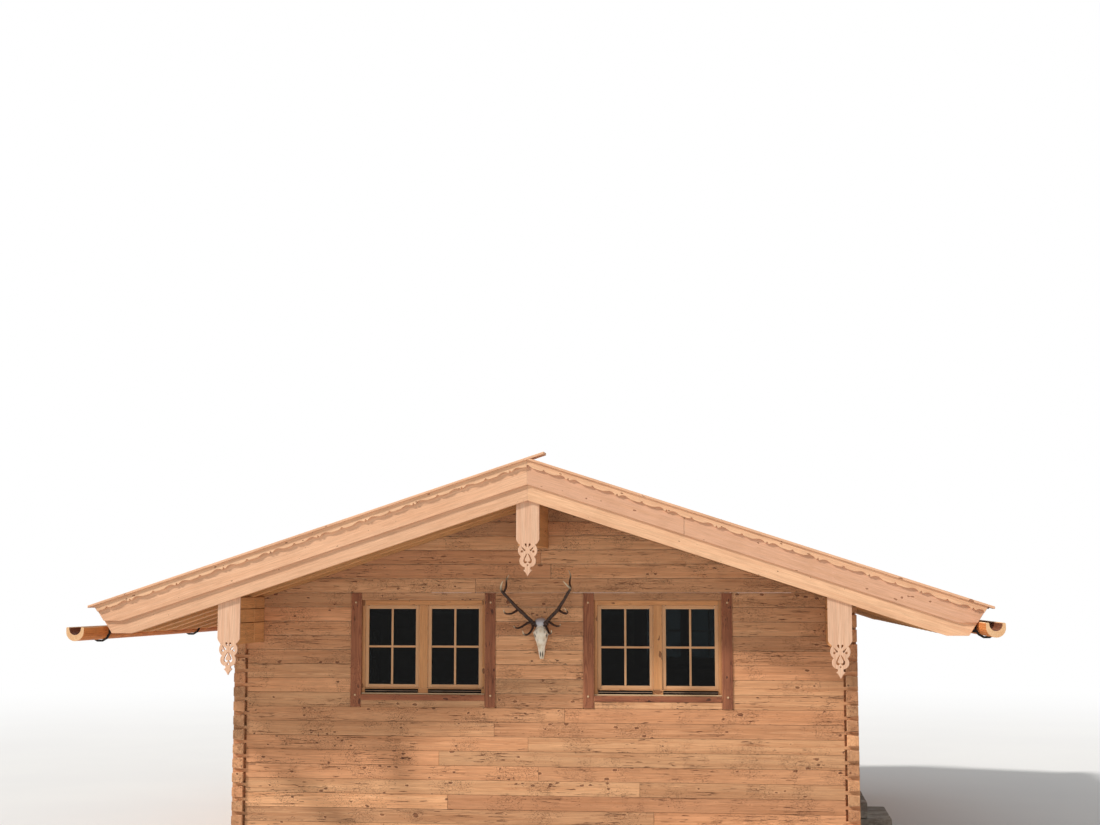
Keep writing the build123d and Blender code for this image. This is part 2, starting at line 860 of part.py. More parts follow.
with BuildPart() as weather_rails:
    for place in window_places:
        with BuildSketch(place.offset(-frame_set_back)):
            for side in (-1, 1):
                sash_middle = side * (frame_mullion + sash_width) / 2
                rail_middle = sill_height + frame_foot - rail_drop - rail_height / 2
                with Locations((sash_middle, rail_middle)):
                    Rectangle(sash_width - 2 * rail_inset, rail_height)
        extrude(amount=rail_proud)
save(weather_rails.part, "weather_rails")

# Door in the right-hand wall: frame, plank leaf and two stone steps
doorway_foot = doorway[0][2]
with BuildPart() as door_frame:
    with BuildSketch(door_place.offset(post_proud)):
        with Locations((0, (doorway_foot + door_head) / 2)):
            Rectangle(door_width, door_head - doorway_foot)
        with Locations((0, (floor_top + door_head - lintel_height) / 2)):
            Rectangle(
                door_width - 2 * post_width,
                door_head - lintel_height - floor_top,
                mode=Mode.SUBTRACT,
            )
    extrude(amount=-(log_thick + post_proud))
save(door_frame.part, "door_frame")

with BuildPart() as door_leaf:
    with BuildSketch(door_place.offset(-frame_set_back)):
        with Locations((0, (floor_top + door_head - lintel_height) / 2)):
            Rectangle(door_width - 2 * post_width, door_head - lintel_height - floor_top)
    extrude(amount=-door_leaf_thick)
save(door_leaf.part, "door_leaf")

with BuildPart() as door_steps:
    with BuildSketch(Plane(origin=(0, -step_width / 2, 0), x_dir=(1, 0, 0), z_dir=(0, -1, 0))):
        with BuildLine():
            Polyline(
                (half_width, 0),
                (half_width + 2 * step_depth, 0),
                (half_width + 2 * step_depth, step_rise),
                (half_width + step_depth, step_rise),
                (half_width + step_depth, 2 * step_rise),
                (half_width, 2 * step_rise),
                close=True,
            )
        make_face()
    extrude(amount=-step_width)
save(door_steps.part, "door_steps")

# Stag skull with its antlers, one bony piece, hung on the front wall
turn = math.radians(trophy_turn)
trophy_place = Plane(
    origin=(trophy_x, -half_length, trophy_foot),
    x_dir=(math.cos(turn), math.sin(turn), 0),
    z_dir=(0, 0, 1),
)
with BuildPart() as stag_trophy:
    for height, width, depth in skull_sections:
        with BuildSketch(trophy_place.offset(height)):
            with Locations((0, -depth / 2)):
                Ellipse(width / 2, depth / 2)
    loft(ruled=True)
    for side in (-1, 1):
        for stations in antler_branches:
            add(antler_branch(trophy_place, side, stations))
    with BuildSketch(gable_plane(-half_length - trophy_gap)):
        with Locations((trophy_x, trophy_foot + wall_slack)):
            Rectangle(wall_slack, 3 * wall_slack)
    extrude(amount=-wall_slack, mode=Mode.SUBTRACT)
save(stag_trophy.part, "stag_trophy")
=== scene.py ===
import math
import random
from types import SimpleNamespace

import bmesh
import bpy
from mathutils import Matrix, Vector, noise


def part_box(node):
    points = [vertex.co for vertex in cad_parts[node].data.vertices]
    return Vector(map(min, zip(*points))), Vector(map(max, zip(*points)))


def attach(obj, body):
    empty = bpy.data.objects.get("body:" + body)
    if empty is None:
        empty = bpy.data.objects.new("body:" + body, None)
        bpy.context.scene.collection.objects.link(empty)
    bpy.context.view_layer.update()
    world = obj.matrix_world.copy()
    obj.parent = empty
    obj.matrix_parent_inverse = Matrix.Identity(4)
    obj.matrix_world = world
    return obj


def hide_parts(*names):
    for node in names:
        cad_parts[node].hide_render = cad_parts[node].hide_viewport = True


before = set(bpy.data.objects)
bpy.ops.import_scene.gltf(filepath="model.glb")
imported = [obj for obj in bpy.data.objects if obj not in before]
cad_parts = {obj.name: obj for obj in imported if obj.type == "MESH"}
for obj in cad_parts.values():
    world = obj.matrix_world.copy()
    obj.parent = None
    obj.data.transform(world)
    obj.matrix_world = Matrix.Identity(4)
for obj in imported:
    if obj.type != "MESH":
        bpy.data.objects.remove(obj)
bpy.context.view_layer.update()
scene = bpy.context.scene
print("frame loaded,", len(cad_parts), "nodes")

# Main measures of the house, in metres. X runs along the gable, Y from front to back, Z up.
house = {
    "halfWidth": 3.4, "halfLength": 4.0, "plinthHeight": 0.36,
    "logThick": 0.125, "logHeight": 0.155, "courses": 23, "tailCourses": 13,
    "slope": 0.3261, "rafterFoot": 3.953, "rafterHeight": 0.180, "deckThick": 0.027, "insulationThick": 0.110,
    "coverThick": 0.075, "capThick": 0.024,
    "vergeFace": 4.95, "eavesReach": 4.627, "rake": 0.65, "tailDrop": 0.281,
}
h = SimpleNamespace(**house)
innerX = h.halfWidth - h.logThick
innerY = h.halfLength - h.logThick
slopeAngle = math.atan(h.slope)
upright = 1 / math.cos(slopeAngle)
deckFoot = h.rafterFoot + h.rafterHeight * upright
insulationFoot = deckFoot + h.deckThick * upright
coverFoot = insulationFoot + h.insulationThick * upright
capFoot = coverFoot + h.coverThick * upright
capTop = capFoot + h.capThick * upright
eavesHeight = capFoot - h.slope * h.eavesReach
tailCut = eavesHeight - h.tailDrop


def slopeZ(foot, x):
    return foot - h.slope * abs(x)


def rakeX(z):
    return h.eavesReach + h.rake * (z - eavesHeight)


def rakeEnd(foot):
    x = rakeX(foot) / (1 + h.rake * h.slope)
    return x, slopeZ(foot, x)


def screen(red, green, blue):
    # colour as a screen shows it, 0 to 255, to the linear values that shaders use
    def linear(value):
        value /= 255
        return value / 12.92 if value <= 0.04045 else ((value + 0.055) / 1.055) ** 2.4
    return linear(red), linear(green), linear(blue), 1.0


# meshes: each piece gathers its solids in a store, with a place in the grain for the shaders

still = Matrix.Identity(4)


def at(x, y, z):
    return Matrix.Translation((x, y, z))


def turn(degrees, axis):
    return Matrix.Rotation(math.radians(degrees), 4, axis)


lengthwise = turn(-90, "Z")   # grain of what runs from front to back


def newStore():
    return {"points": [], "faces": [], "finish": [], "edge": [], "grain": [], "tone": []}


def put(store, bm, place, grainPlace=None, tone=0.5, finish=0, shift=(0, 0, 0)):
    # adds a bmesh to the store; grain runs along the local x of grainPlace
    start = len(store["points"])
    edgeMark = bm.faces.layers.int.get("edgeMark")
    bm.verts.index_update()
    toGrain = grainPlace or still
    for vertex in bm.verts:
        store["points"].append(place @ vertex.co)
        store["grain"].append(toGrain @ vertex.co + Vector(shift))
        store["tone"].append(tone)
    for face in bm.faces:
        store["faces"].append([start + vertex.index for vertex in face.verts])
        store["finish"].append(finish)
        face.normal_update()
        # the pale edge colour goes on marked bevels that do not look down: partly rubbed wear, partly a painted
        # highlight where bevels catch the light from above
        pale = edgeMark is not None and face[edgeMark] and (place.to_3x3() @ face.normal).z > -0.2
        store["edge"].append(float(pale))   # edges that look down stay dark
    bm.free()


def grainShift(rng):
    # every board comes from another place of its trunk
    return rng.uniform(0, 60), rng.uniform(-0.03, 0.09), rng.uniform(-0.05, 0.05)


def putBoard(store, bm, rng, place, grainPlace=None, finish=0):
    put(store, bm, place, grainPlace, rng.random(), finish, grainShift(rng))


def flip(bm, scale):
    bm.transform(Matrix.Diagonal(scale))
    bmesh.ops.reverse_faces(bm, faces=bm.faces)


def bevelEdges(bm, width, segments=1, sharp=25):
    mark = bm.faces.layers.int.get("edgeMark") or bm.faces.layers.int.new("edgeMark")
    edges = [e for e in bm.edges if len(e.link_faces) == 2 and e.calc_face_angle(0) > math.radians(sharp)]
    made = bmesh.ops.bevel(bm, geom=edges, offset=width, segments=segments, affect="EDGES", clamp_overlap=True)
    for face in made["faces"]:
        face[mark] = 1


def loft(rings):
    # a closed solid through rings of the same number of points
    bm = bmesh.new()
    rows = [[bm.verts.new(point) for point in ring] for ring in rings]
    count = len(rows[0])
    for low, high in zip(rows, rows[1:]):
        for k in range(count):
            bm.faces.new((low[k], low[(k + 1) % count], high[(k + 1) % count], high[k]))
    bm.faces.new(rows[0][::-1])
    bm.faces.new(rows[-1])
    bmesh.ops.recalc_face_normals(bm, faces=bm.faces)
    return bm


def boxBm(size, bevel=0.002, segments=1):
    x, y, z = (value / 2 for value in size)
    ring = [(-y, -z), (y, -z), (y, z), (-y, z)]
    bm = loft([[(end, b, c) for b, c in ring] for end in (-x, x)])
    if bevel:
        bevelEdges(bm, bevel, segments)
    return bm


def prismBm(outline, low, high, bevel=0.002, segments=1):
    # outline in local x and z, run along local y
    bm = loft([[(x, y, z) for x, z in outline] for y in (low, high)])
    bevelEdges(bm, bevel, segments)
    return bm


def outlineBm(loops, thick, bevel):
    # board with any outline and holes, its corners rounded; lies in local x and y
    curve = bpy.data.curves.new("outline", "CURVE")
    curve.dimensions = "2D"
    curve.fill_mode = "BOTH"
    curve.extrude = thick / 2 - bevel
    curve.bevel_depth = bevel
    curve.bevel_resolution = 1
    curve.offset = -bevel
    for points in loops:
        spline = curve.splines.new("POLY")
        spline.points.add(len(points) - 1)
        for knot, (x, y) in zip(spline.points, points):
            knot.co = (x, y, 0, 1)
        spline.use_cyclic_u = True
    holder = bpy.data.objects.new("outline", curve)
    scene.collection.objects.link(holder)
    bpy.context.view_layer.update()
    mesh = bpy.data.meshes.new_from_object(holder.evaluated_get(bpy.context.evaluated_depsgraph_get()))
    bm = bmesh.new()
    bm.from_mesh(mesh)
    bmesh.ops.remove_doubles(bm, verts=bm.verts, dist=1e-5)
    bmesh.ops.dissolve_degenerate(bm, dist=1e-6, edges=bm.edges)
    bmesh.ops.recalc_face_normals(bm, faces=bm.faces)
    mark = bm.faces.layers.int.new("edgeMark")
    for face in bm.faces:
        face.normal_update()
        face[mark] = 1 if 0.2 < abs(face.normal.z) < 0.98 else 0
    bpy.data.objects.remove(holder)
    bpy.data.curves.remove(curve)
    bpy.data.meshes.remove(mesh)
    return bm


def makePiece(name, store, materials, nodes=(), smooth=False):
    mesh = bpy.data.meshes.new(name)
    mesh.from_pydata([tuple(point) for point in store["points"]], [], store["faces"])
    for material in materials:
        mesh.materials.append(material)
    mesh.polygons.foreach_set("material_index", store["finish"])
    if smooth:
        mesh.polygons.foreach_set("use_smooth", [True] * len(mesh.polygons))
    grain = mesh.attributes.new("grainPlace", "FLOAT_VECTOR", "POINT")
    grain.data.foreach_set("vector", [value for point in store["grain"] for value in point])
    mesh.attributes.new("pieceTone", "FLOAT", "POINT").data.foreach_set("value", store["tone"])
    mesh.attributes.new("wornLitEdge", "FLOAT", "FACE").data.foreach_set("value", store["edge"])
    mesh.update()
    piece = bpy.data.objects.new(name, mesh)
    scene.collection.objects.link(piece)
    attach(piece, "root")
    if nodes:
        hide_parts(*nodes)


# shader node groups and materials

class ShaderTree:
    # adds nodes to a node tree; a value is a number, a colour or another node's output
    def __init__(self, tree):
        self.tree = tree

    def feed(self, node, values):
        for key, value in dict(values).items():
            if isinstance(value, (int, float, tuple)):
                node.inputs[key].default_value = value
            else:
                self.tree.links.new(value, node.inputs[key])

    def add(self, kind, values=(), **settings):
        node = self.tree.nodes.new("ShaderNode" + kind)
        for name, value in settings.items():
            setattr(node, name, value)
        self.feed(node, values)
        return node.outputs

    def math(self, operation, *values, clamp=False):
        return self.add("Math", enumerate(values), operation=operation, use_clamp=clamp)[0]

    def times(self, first, second, clamp=False):
        return self.math("MULTIPLY", first, second, clamp=clamp)

    def timesPlus(self, first, second, plus):
        return self.math("MULTIPLY_ADD", first, second, plus)

    def vectorMath(self, operation, *values):
        return self.add("VectorMath", enumerate(values), operation=operation)[0]

    def noise(self, vector, scale, detail=3.0, roughness=0.55, distortion=0.0, output="Fac"):
        # a scale of three numbers stretches the pattern
        if isinstance(scale, tuple):
            vector, scale = self.vectorMath("MULTIPLY", vector, scale), 1.0
        return self.add("TexNoise", {"Vector": vector, "Scale": scale, "Detail": detail, "Roughness": roughness,
                                     "Distortion": distortion})[output]

    def cells(self, vector, scale):
        # distance from the nearest of many strewn points, and two random numbers of that point
        cell = self.add("TexVoronoi", {"Vector": vector, "Scale": scale})
        kind = self.add("SeparateColor", {0: cell["Color"]})
        return cell["Distance"], kind[0], kind[1]

    def ramp(self, value, low, high, toLow=0.0, toHigh=1.0):
        return self.add("MapRange", {"Value": value, "From Min": low, "From Max": high, "To Min": toLow,
                                     "To Max": toHigh}, interpolation_type="SMOOTHSTEP")["Result"]

    def mix(self, factor, first, second, blend="MIX"):
        return self.add("Mix", {0: factor, 6: first, 7: second}, data_type="RGBA", blend_type=blend)[2]

    def shade(self, color, value):
        grey = self.add("CombineColor", {0: value, 1: value, 2: value})[0]
        return self.mix(1.0, color, grey, "MULTIPLY")

    def pieceData(self, name):
        # what makePiece keeps in a mesh: grainPlace, pieceTone or the edge mark for rubbed wear and painted highlight
        return self.add("Attribute", attribute_name=name)["Vector" if name == "grainPlace" else "Fac"]

    def objectPlace(self):
        return self.add("TexCoord")["Object"]

    def surface(self, color, roughness, height, strength, distance, others=()):
        bump = self.add("Bump", {"Strength": strength, "Distance": distance, "Height": height})["Normal"]
        self.feed(self.shader, {"Base Color": color, "Roughness": roughness, "Normal": bump, **dict(others)})


def newGroup(name, inputs, outputs):
    group = bpy.data.node_groups.new(name, "ShaderNodeTree")
    for socketName, value in inputs.items():
        kind = "Vector" if value is None else "Color" if isinstance(value, tuple) else "Float"
        socket = group.interface.new_socket(socketName, in_out="INPUT", socket_type="NodeSocket" + kind)
        if value is not None:
            socket.default_value = value
    for socketName in outputs:
        kind = "Color" if socketName == "Color" else "Float"
        group.interface.new_socket(socketName, in_out="OUTPUT", socket_type="NodeSocket" + kind)
    return ShaderTree(group), group.nodes.new("NodeGroupInput").outputs, group.nodes.new("NodeGroupOutput")


def timberGroup():
    # growth rings, fibres, knots and drying cracks of a board; x of Place runs along the grain
    tree, given, made = newGroup("timber", {
        "Place": None, "Tone": 0.5,
        "Early Wood": (0.6, 0.4, 0.25, 1), "Other Wood": (0.6, 0.4, 0.25, 1), "Late Wood": (0.4, 0.22, 0.1, 1),
        "Knot Color": (0.12, 0.04, 0.015, 1),
        "Ring Contrast": 0.6, "Knots": 0.5, "Cracks": 0.5, "Tone Spread": 0.35, "Hewing": 0.0,
    }, ("Color", "Roughness", "Height"))
    place = given["Place"]
    # knots: small spheres strewn through the timber, gathered in whorls along it
    ragged = tree.noise(place, (30.0, 60.0, 60.0), 2.0, 0.6, output="Color")
    knotPlace = tree.vectorMath("ADD", tree.vectorMath("MULTIPLY", place, (11.0, 21.0, 21.0)),
                                tree.vectorMath("MULTIPLY", ragged, (0.40, 0.30, 0.30)))
    knotDistance, knotChance, knotSize = tree.cells(knotPlace, 1.0)
    whorl = tree.noise(place, (2.2, 2.0, 2.0), 2.0)
    present = tree.math("LESS_THAN", knotChance, tree.timesPlus(tree.ramp(whorl, 0.48, 0.66), 0.66, 0.08))
    knotSize = tree.timesPlus(tree.math("POWER", knotSize, 1.6), 0.26, 0.08)
    knotSize = tree.times(knotSize, tree.times(present, given["Knots"]))
    nearness = tree.math("SUBTRACT", knotSize, knotDistance)
    knot = tree.ramp(nearness, -0.01, 0.04)
    knotHeart = tree.ramp(nearness, 0.05, 0.14)
    around = tree.times(tree.ramp(nearness, -0.34, 0.05), present)
    # growth rings round the pith, bent round the knots
    wobble = tree.noise(place, (0.9, 7.0, 7.0), 2.0, 0.5)
    axes = tree.add("SeparateXYZ", {0: place})
    across = tree.math("SQRT", tree.math("ADD", tree.math("POWER", axes["Y"], 2.0), tree.math("POWER", axes["Z"], 2.0)))
    swirl = tree.timesPlus(around, 0.012, tree.timesPlus(wobble, 0.050, across))
    ring = tree.ramp(tree.math("SINE", tree.times(swirl, 6.2832 / 0.0052)), -0.3, 1.0)
    # fine fibres, and long thin drying cracks with short checks and pits
    fibre = tree.noise(place, (5.0, 190.0, 190.0), 3.0, 0.6)
    streak = tree.noise(place, (0.7, 26.0, 26.0), 3.0, 0.55)
    crackField = tree.noise(place, (0.75, 24.0, 24.0), 4.0, 0.5)
    crackLine = tree.math("ABSOLUTE", tree.math("SUBTRACT", crackField, 0.5))
    crackWhere = tree.noise(place, (1.3, 6.0, 6.0), 1.0)
    crackMask = tree.times(tree.ramp(crackLine, 0.0060, 0.0012), tree.ramp(crackWhere, 0.50, 0.58))
    checks = tree.noise(place, (6.5, 84.0, 84.0), 2.0, 0.5)
    checkMask = tree.times(tree.ramp(checks, 0.66, 0.70), tree.ramp(crackWhere, 0.44, 0.56))
    pitDistance, pitChance, pitSize = tree.cells(tree.vectorMath("MULTIPLY", knotPlace, (2.3, 2.1, 2.1)), 5.0)
    pitHere = tree.math("LESS_THAN", pitChance, tree.ramp(whorl, 0.47, 0.60, 0.0, 0.60))
    pitDepth = tree.math("SUBTRACT", tree.timesPlus(pitSize, 0.34, 0.17), pitDistance)
    pitMask = tree.times(pitHere, tree.ramp(pitDepth, -0.01, 0.05))
    crackMask = tree.math("MAXIMUM", crackMask, tree.math("MAXIMUM", checkMask, pitMask))
    crack = tree.times(crackMask, given["Cracks"], clamp=True)
    hewing = tree.noise(place, (9.0, 20.0, 20.0), 2.0, 0.5)
    # colour
    warmth = tree.math("FRACT", tree.times(given["Tone"], 7.31))
    early = tree.mix(warmth, given["Early Wood"], given["Other Wood"])
    color = tree.mix(tree.times(ring, given["Ring Contrast"]), early, given["Late Wood"])
    color = tree.mix(tree.ramp(streak, 0.35, 0.72, 0.0, 0.55), color, given["Late Wood"])
    color = tree.shade(color, tree.ramp(fibre, 0.3, 0.7, 0.86, 1.10))
    color = tree.shade(color, tree.timesPlus(tree.math("SUBTRACT", given["Tone"], 0.5), given["Tone Spread"], 1.0))
    for mask, amount, other in ((around, 0.40, early), (knot, 0.85, given["Knot Color"]),
                                (knotHeart, 0.35, given["Late Wood"]), (crack, 0.85, given["Knot Color"])):
        color = tree.mix(tree.times(mask, amount), color, other)
    height = tree.times(fibre, 0.35)
    for part, amount in ((ring, 0.22), (knot, 0.45), (crack, -1.6), (hewing, given["Hewing"])):
        height = tree.timesPlus(part, amount, height)
    rough = tree.timesPlus(knot, -0.15, tree.ramp(fibre, 0.2, 0.8, 0.58, 0.76))
    tree.feed(made, {"Color": color, "Roughness": rough, "Height": height})
    return tree.tree


def wearAndHighlightGroup():
    # edges painted pale, partly as rubbed wear and partly as painted highlight, and grime that settles in blotches
    tree, given, made = newGroup("edgeWearAndHighlight", {
        "Color": (0.5, 0.5, 0.5, 1), "Height": 0.0, "Edge": 0.0, "Place": None,
        "Edge Color": (0.8, 0.6, 0.4, 1), "Edge Amount": 0.5,
        "Grime Color": (0.1, 0.07, 0.05, 1), "Grime Amount": 0.2,
    }, ("Color", "Height"))
    patch = tree.noise(given["Place"], 2.3, 4.0, 0.6)
    rub = tree.noise(given["Place"], 23.0, 3.0, 0.6)
    edge = tree.times(given["Edge"], tree.ramp(rub, 0.30, 0.62, 0.25, 1.0))
    edge = tree.times(edge, given["Edge Amount"], clamp=True)
    grime = tree.times(tree.ramp(patch, 0.46, 0.74), given["Grime Amount"])
    color = tree.mix(grime, tree.mix(edge, given["Color"], given["Edge Color"]), given["Grime Color"])
    tree.feed(made, {"Color": color, "Height": tree.timesPlus(edge, -0.3, given["Height"])})
    return tree.tree


timber = timberGroup()
edgeWearAndHighlight = wearAndHighlightGroup()


def newMaterial(name):
    material = bpy.data.materials.new(name)
    material.use_nodes = True
    tree = ShaderTree(material.node_tree)
    tree.shader = material.node_tree.nodes["Principled BSDF"]
    return material, tree


def woodMaterial(name, finish, fromObject=None):
    # fromObject gives the grain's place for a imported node: a rotation that lays its grain along x
    material, tree = newMaterial(name)
    f = SimpleNamespace(**{"other": finish["early"], "relief": 0.0015, "hewing": 0.0, **finish})
    if fromObject is None:
        place, tone, edge = (tree.pieceData(data) for data in ("grainPlace", "pieceTone", "wornLitEdge"))
    else:
        place = tree.add("Mapping", {"Rotation": fromObject, "Vector": tree.objectPlace()})["Vector"]
        tone, edge = 0.5, 0.0
    plain = tree.add("Group", {
        "Place": place, "Tone": tone,
        "Early Wood": screen(*f.early), "Other Wood": screen(*f.other), "Late Wood": screen(*f.late),
        "Knot Color": screen(*f.knot),
        "Ring Contrast": f.contrast, "Knots": f.knots, "Cracks": f.cracks, "Tone Spread": f.spread, "Hewing": f.hewing,
    }, node_tree=timber)
    worn = tree.add("Group", {
        "Color": plain["Color"], "Height": plain["Height"], "Edge": edge, "Place": place,
        "Edge Color": screen(*f.edge), "Edge Amount": f.edgeAmount,
        "Grime Color": screen(*f.grime), "Grime Amount": f.grimeAmount,
    }, node_tree=edgeWearAndHighlight)
    tree.surface(worn["Color"], plain["Roughness"], worn["Height"], f.bump, f.relief, {"Specular IOR Level": 0.3})
    return material


# one line per finish: its colours as a screen shows them, then its amounts
# the edge colour is partly rubbed wear and partly a painted highlight on bevels that catch the light
finishColumns = ("early", "late", "knot", "edge", "grime",
                 "contrast", "knots", "cracks", "spread", "edgeAmount", "grimeAmount", "bump")
finishLines = {
    "wallLog": ((228, 176, 130), (182, 122, 80), (82, 36, 20), (240, 198, 156), (140, 94, 66),
                0.42, 1.0, 1.0, 0.40, 0.7, 0.15, 0.9),
    "newBoard": ((238, 192, 152), (216, 162, 124), (128, 74, 44), (242, 202, 166), (190, 140, 104),
                 0.45, 0.85, 0.15, 0.14, 0.7, 0.25, 0.35),
    "carvedBoard": ((234, 192, 160), (216, 162, 128), (150, 94, 64), (248, 218, 190), (200, 150, 118),
                    0.35, 0.12, 0.05, 0.08, 0.85, 0.15, 0.3),
    "purlinTimber": ((222, 164, 108), (186, 128, 78), (100, 56, 30), (218, 168, 116), (120, 76, 44),
                     0.5, 0.45, 0.5, 0.15, 0.5, 0.2, 0.5),
    "soffitBoard": ((176, 116, 68), (132, 78, 42), (62, 30, 16), (190, 134, 86), (90, 54, 32),
                    0.5, 0.6, 0.2, 0.25, 0.4, 0.2, 0.4),
    "darkLining": ((176, 112, 78), (124, 70, 48), (48, 22, 14), (200, 142, 104), (96, 56, 40),
                   0.6, 1.1, 1.0, 0.2, 0.8, 0.3, 0.7),
    "pineFrame": ((216, 158, 106), (186, 124, 76), (84, 42, 20), (220, 184, 140), (150, 106, 70),
                  0.4, 1.7, 0.1, 0.12, 0.7, 0.2, 0.2),
    "gutterLog": ((216, 138, 74), (176, 96, 44), (88, 40, 18), (226, 160, 98), (120, 66, 34),
                  0.55, 0.5, 0.7, 0.15, 0.5, 0.3, 0.6),
    "freshCut": ((240, 198, 152), (218, 164, 114), (140, 84, 52), (248, 218, 180), (190, 138, 96),
                 0.6, 0.1, 0.3, 0.1, 0.4, 0.2, 0.4),
    "sashPine": ((220, 170, 124), (198, 142, 98), (100, 56, 30), (232, 206, 172), (160, 118, 80),
                 0.35, 0.5, 0.0, 0.1, 0.6, 0.15, 0.2),
    "gutterHollow": ((138, 80, 50), (98, 54, 34), (40, 22, 14), (140, 92, 60), (48, 40, 32),
                     0.5, 0.3, 0.6, 0.1, 0.3, 0.5, 0.5),
    "shingle": ((150, 128, 106), (112, 90, 72), (70, 52, 40), (168, 148, 124), (84, 78, 66),
                0.6, 0.15, 0.9, 0.7, 0.4, 0.45, 0.9),
    "doorPlank": ((148, 98, 62), (108, 64, 38), (50, 24, 14), (170, 122, 84), (70, 44, 30),
                  0.6, 0.6, 0.4, 0.25, 0.6, 0.3, 0.5),
    "floorBoard": ((200, 160, 116), (168, 122, 80), (100, 60, 34), (210, 176, 134), (130, 96, 66),
                   0.4, 0.4, 0.1, 0.2, 0.3, 0.2, 0.3),
    "pegWood": ((226, 196, 156), (204, 166, 120), (140, 100, 60), (238, 214, 180), (170, 130, 90),
                0.3, 0.0, 0.0, 0.1, 0.5, 0.1, 0.2),
}
woodFinishes = {name: dict(zip(finishColumns, line)) for name, line in finishLines.items()}
woodFinishes["wallLog"].update({"other": (222, 160, 116), "relief": 0.003, "hewing": 1.3})
woodFinishes["newBoard"].update({"other": (232, 180, 148)})   # second colour, for some of the boards
woodFinishes["darkLining"].update({"relief": 0.002})
wood = {name: woodMaterial(name, finish) for name, finish in woodFinishes.items()}
acrossGrain = (0, 0, math.radians(90))


def stoneMaterial(name, pale, deep, vein, grime):
    pale, deep, vein, grime = (screen(*color) for color in (pale, deep, vein, grime))
    material, tree = newMaterial(name)
    place, tone, edge = (tree.pieceData(data) for data in ("grainPlace", "pieceTone", "wornLitEdge"))
    mottle = tree.noise(place, 6.0, 5.0, 0.6)
    grit = tree.noise(place, 120.0, 3.0, 0.7)
    veins = tree.noise(place, (3.0, 3.0, 11.0), 4.0, 0.6, 1.5)
    color = tree.mix(tree.ramp(mottle, 0.3, 0.7), pale, deep)
    color = tree.mix(tree.ramp(veins, 0.56, 0.62, 0.0, 0.4), color, vein)
    light = tree.timesPlus(tree.math("SUBTRACT", tone, 0.5), 0.45, 1.0)
    color = tree.shade(color, tree.times(light, tree.ramp(grit, 0.3, 0.7, 0.9, 1.08)))
    worn = tree.add("Group", {
        "Color": color, "Height": tree.timesPlus(grit, 0.5, mottle), "Edge": edge, "Place": place,
        "Edge Color": pale, "Edge Amount": 0.3, "Grime Color": grime, "Grime Amount": 0.35,
    }, node_tree=edgeWearAndHighlight)
    tree.surface(worn["Color"], tree.ramp(grit, 0.3, 0.7, 0.78, 0.95), worn["Height"], 0.7, 0.004)
    return material


def metalMaterial(name, color, deep, roughness, metallic, gloss=0.5):
    material, tree = newMaterial(name)
    scale = tree.noise(tree.objectPlace(), 40.0, 4.0, 0.6)
    blot = tree.ramp(tree.noise(tree.objectPlace(), 7.0, 3.0, 0.5), 0.35, 0.7)
    tree.surface(tree.mix(blot, screen(*color), screen(*deep)),
                 tree.ramp(scale, 0.3, 0.7, roughness - 0.1, roughness + 0.15), scale, 0.5, 0.0008,
                 {"Metallic": metallic, "Specular IOR Level": gloss})
    return material


def glassMaterial():
    material, tree = newMaterial("windowGlass")
    ripple = tree.noise(tree.objectPlace(), 3.0, 1.0, 0.4)
    smear = tree.noise(tree.objectPlace(), 9.0, 4.0, 0.6)
    # a grey glass tint that also paints shade on the room seen through the panes
    tree.surface(screen(70, 80, 84), tree.ramp(smear, 0.45, 0.8, 0.015, 0.09), ripple, 0.12, 0.002,
                 {"Specular IOR Level": 0.12, "Transmission Weight": 1.0, "IOR": 1.22})
    return material


def boneMaterial():
    # tone is the painted shade in the skull's hollows and the dark line of its seam, and the crown of the skull is
    # greyer than the face
    material, tree = newMaterial("dryBone")
    place = tree.pieceData("grainPlace")
    stain = tree.noise(place, 14.0, 4.0, 0.6)
    pore = tree.noise(place, 160.0, 3.0, 0.6)
    color = tree.mix(tree.ramp(stain, 0.4, 0.75), screen(246, 234, 214), screen(214, 192, 158))
    level = tree.add("SeparateXYZ", {0: place})["Z"]
    color = tree.mix(tree.ramp(level, 0.335, 0.375), color, screen(196, 194, 198))
    # painted shade: eye sockets, nose openings and pits turn dark by the tone, and so does the seam
    color = tree.mix(tree.pieceData("pieceTone"), color, screen(38, 28, 24))
    tree.surface(color, tree.ramp(pore, 0.3, 0.7, 0.55, 0.75), tree.timesPlus(pore, 0.4, stain), 0.4, 0.001)
    return material


def antlerMaterial():
    # tone runs from 0 on the dark beam to 1 on the rubbed tips
    material, tree = newMaterial("antlerBeam")
    place = tree.pieceData("grainPlace")
    furrow = tree.noise(place, (14.0, 150.0, 150.0), 3.0, 0.6)
    blotch = tree.ramp(tree.noise(place, 20.0, 3.0, 0.6), 0.35, 0.7)
    color = tree.mix(blotch, screen(72, 48, 35), screen(36, 23, 18))
    color = tree.mix(tree.ramp(tree.pieceData("pieceTone"), 0.35, 0.9), color, screen(214, 196, 164))
    tree.surface(color, tree.ramp(furrow, 0.3, 0.7, 0.4, 0.65), furrow, 0.7, 0.002)
    return material


plinthStone = stoneMaterial("plinthStone", (172, 166, 156), (128, 122, 114), (196, 190, 178), (92, 86, 74))
mortar = stoneMaterial("mortar", (178, 170, 156), (156, 148, 134), (170, 164, 150), (110, 102, 90))
forgedIron = metalMaterial("forgedIron", (58, 54, 52), (38, 34, 32), 0.55, 0.8)
darkRail = metalMaterial("darkRail", (18, 13, 12), (9, 7, 7), 0.7, 0.0, 0.08)
railLip = metalMaterial("railLip", (168, 142, 118), (136, 110, 90), 0.5, 0.0, 0.3)
windowGlass = glassMaterial()
dryBone = boneMaterial()
antlerBeam = antlerMaterial()
print("materials ready")

# walls: courses of squared logs, crossed at the corners

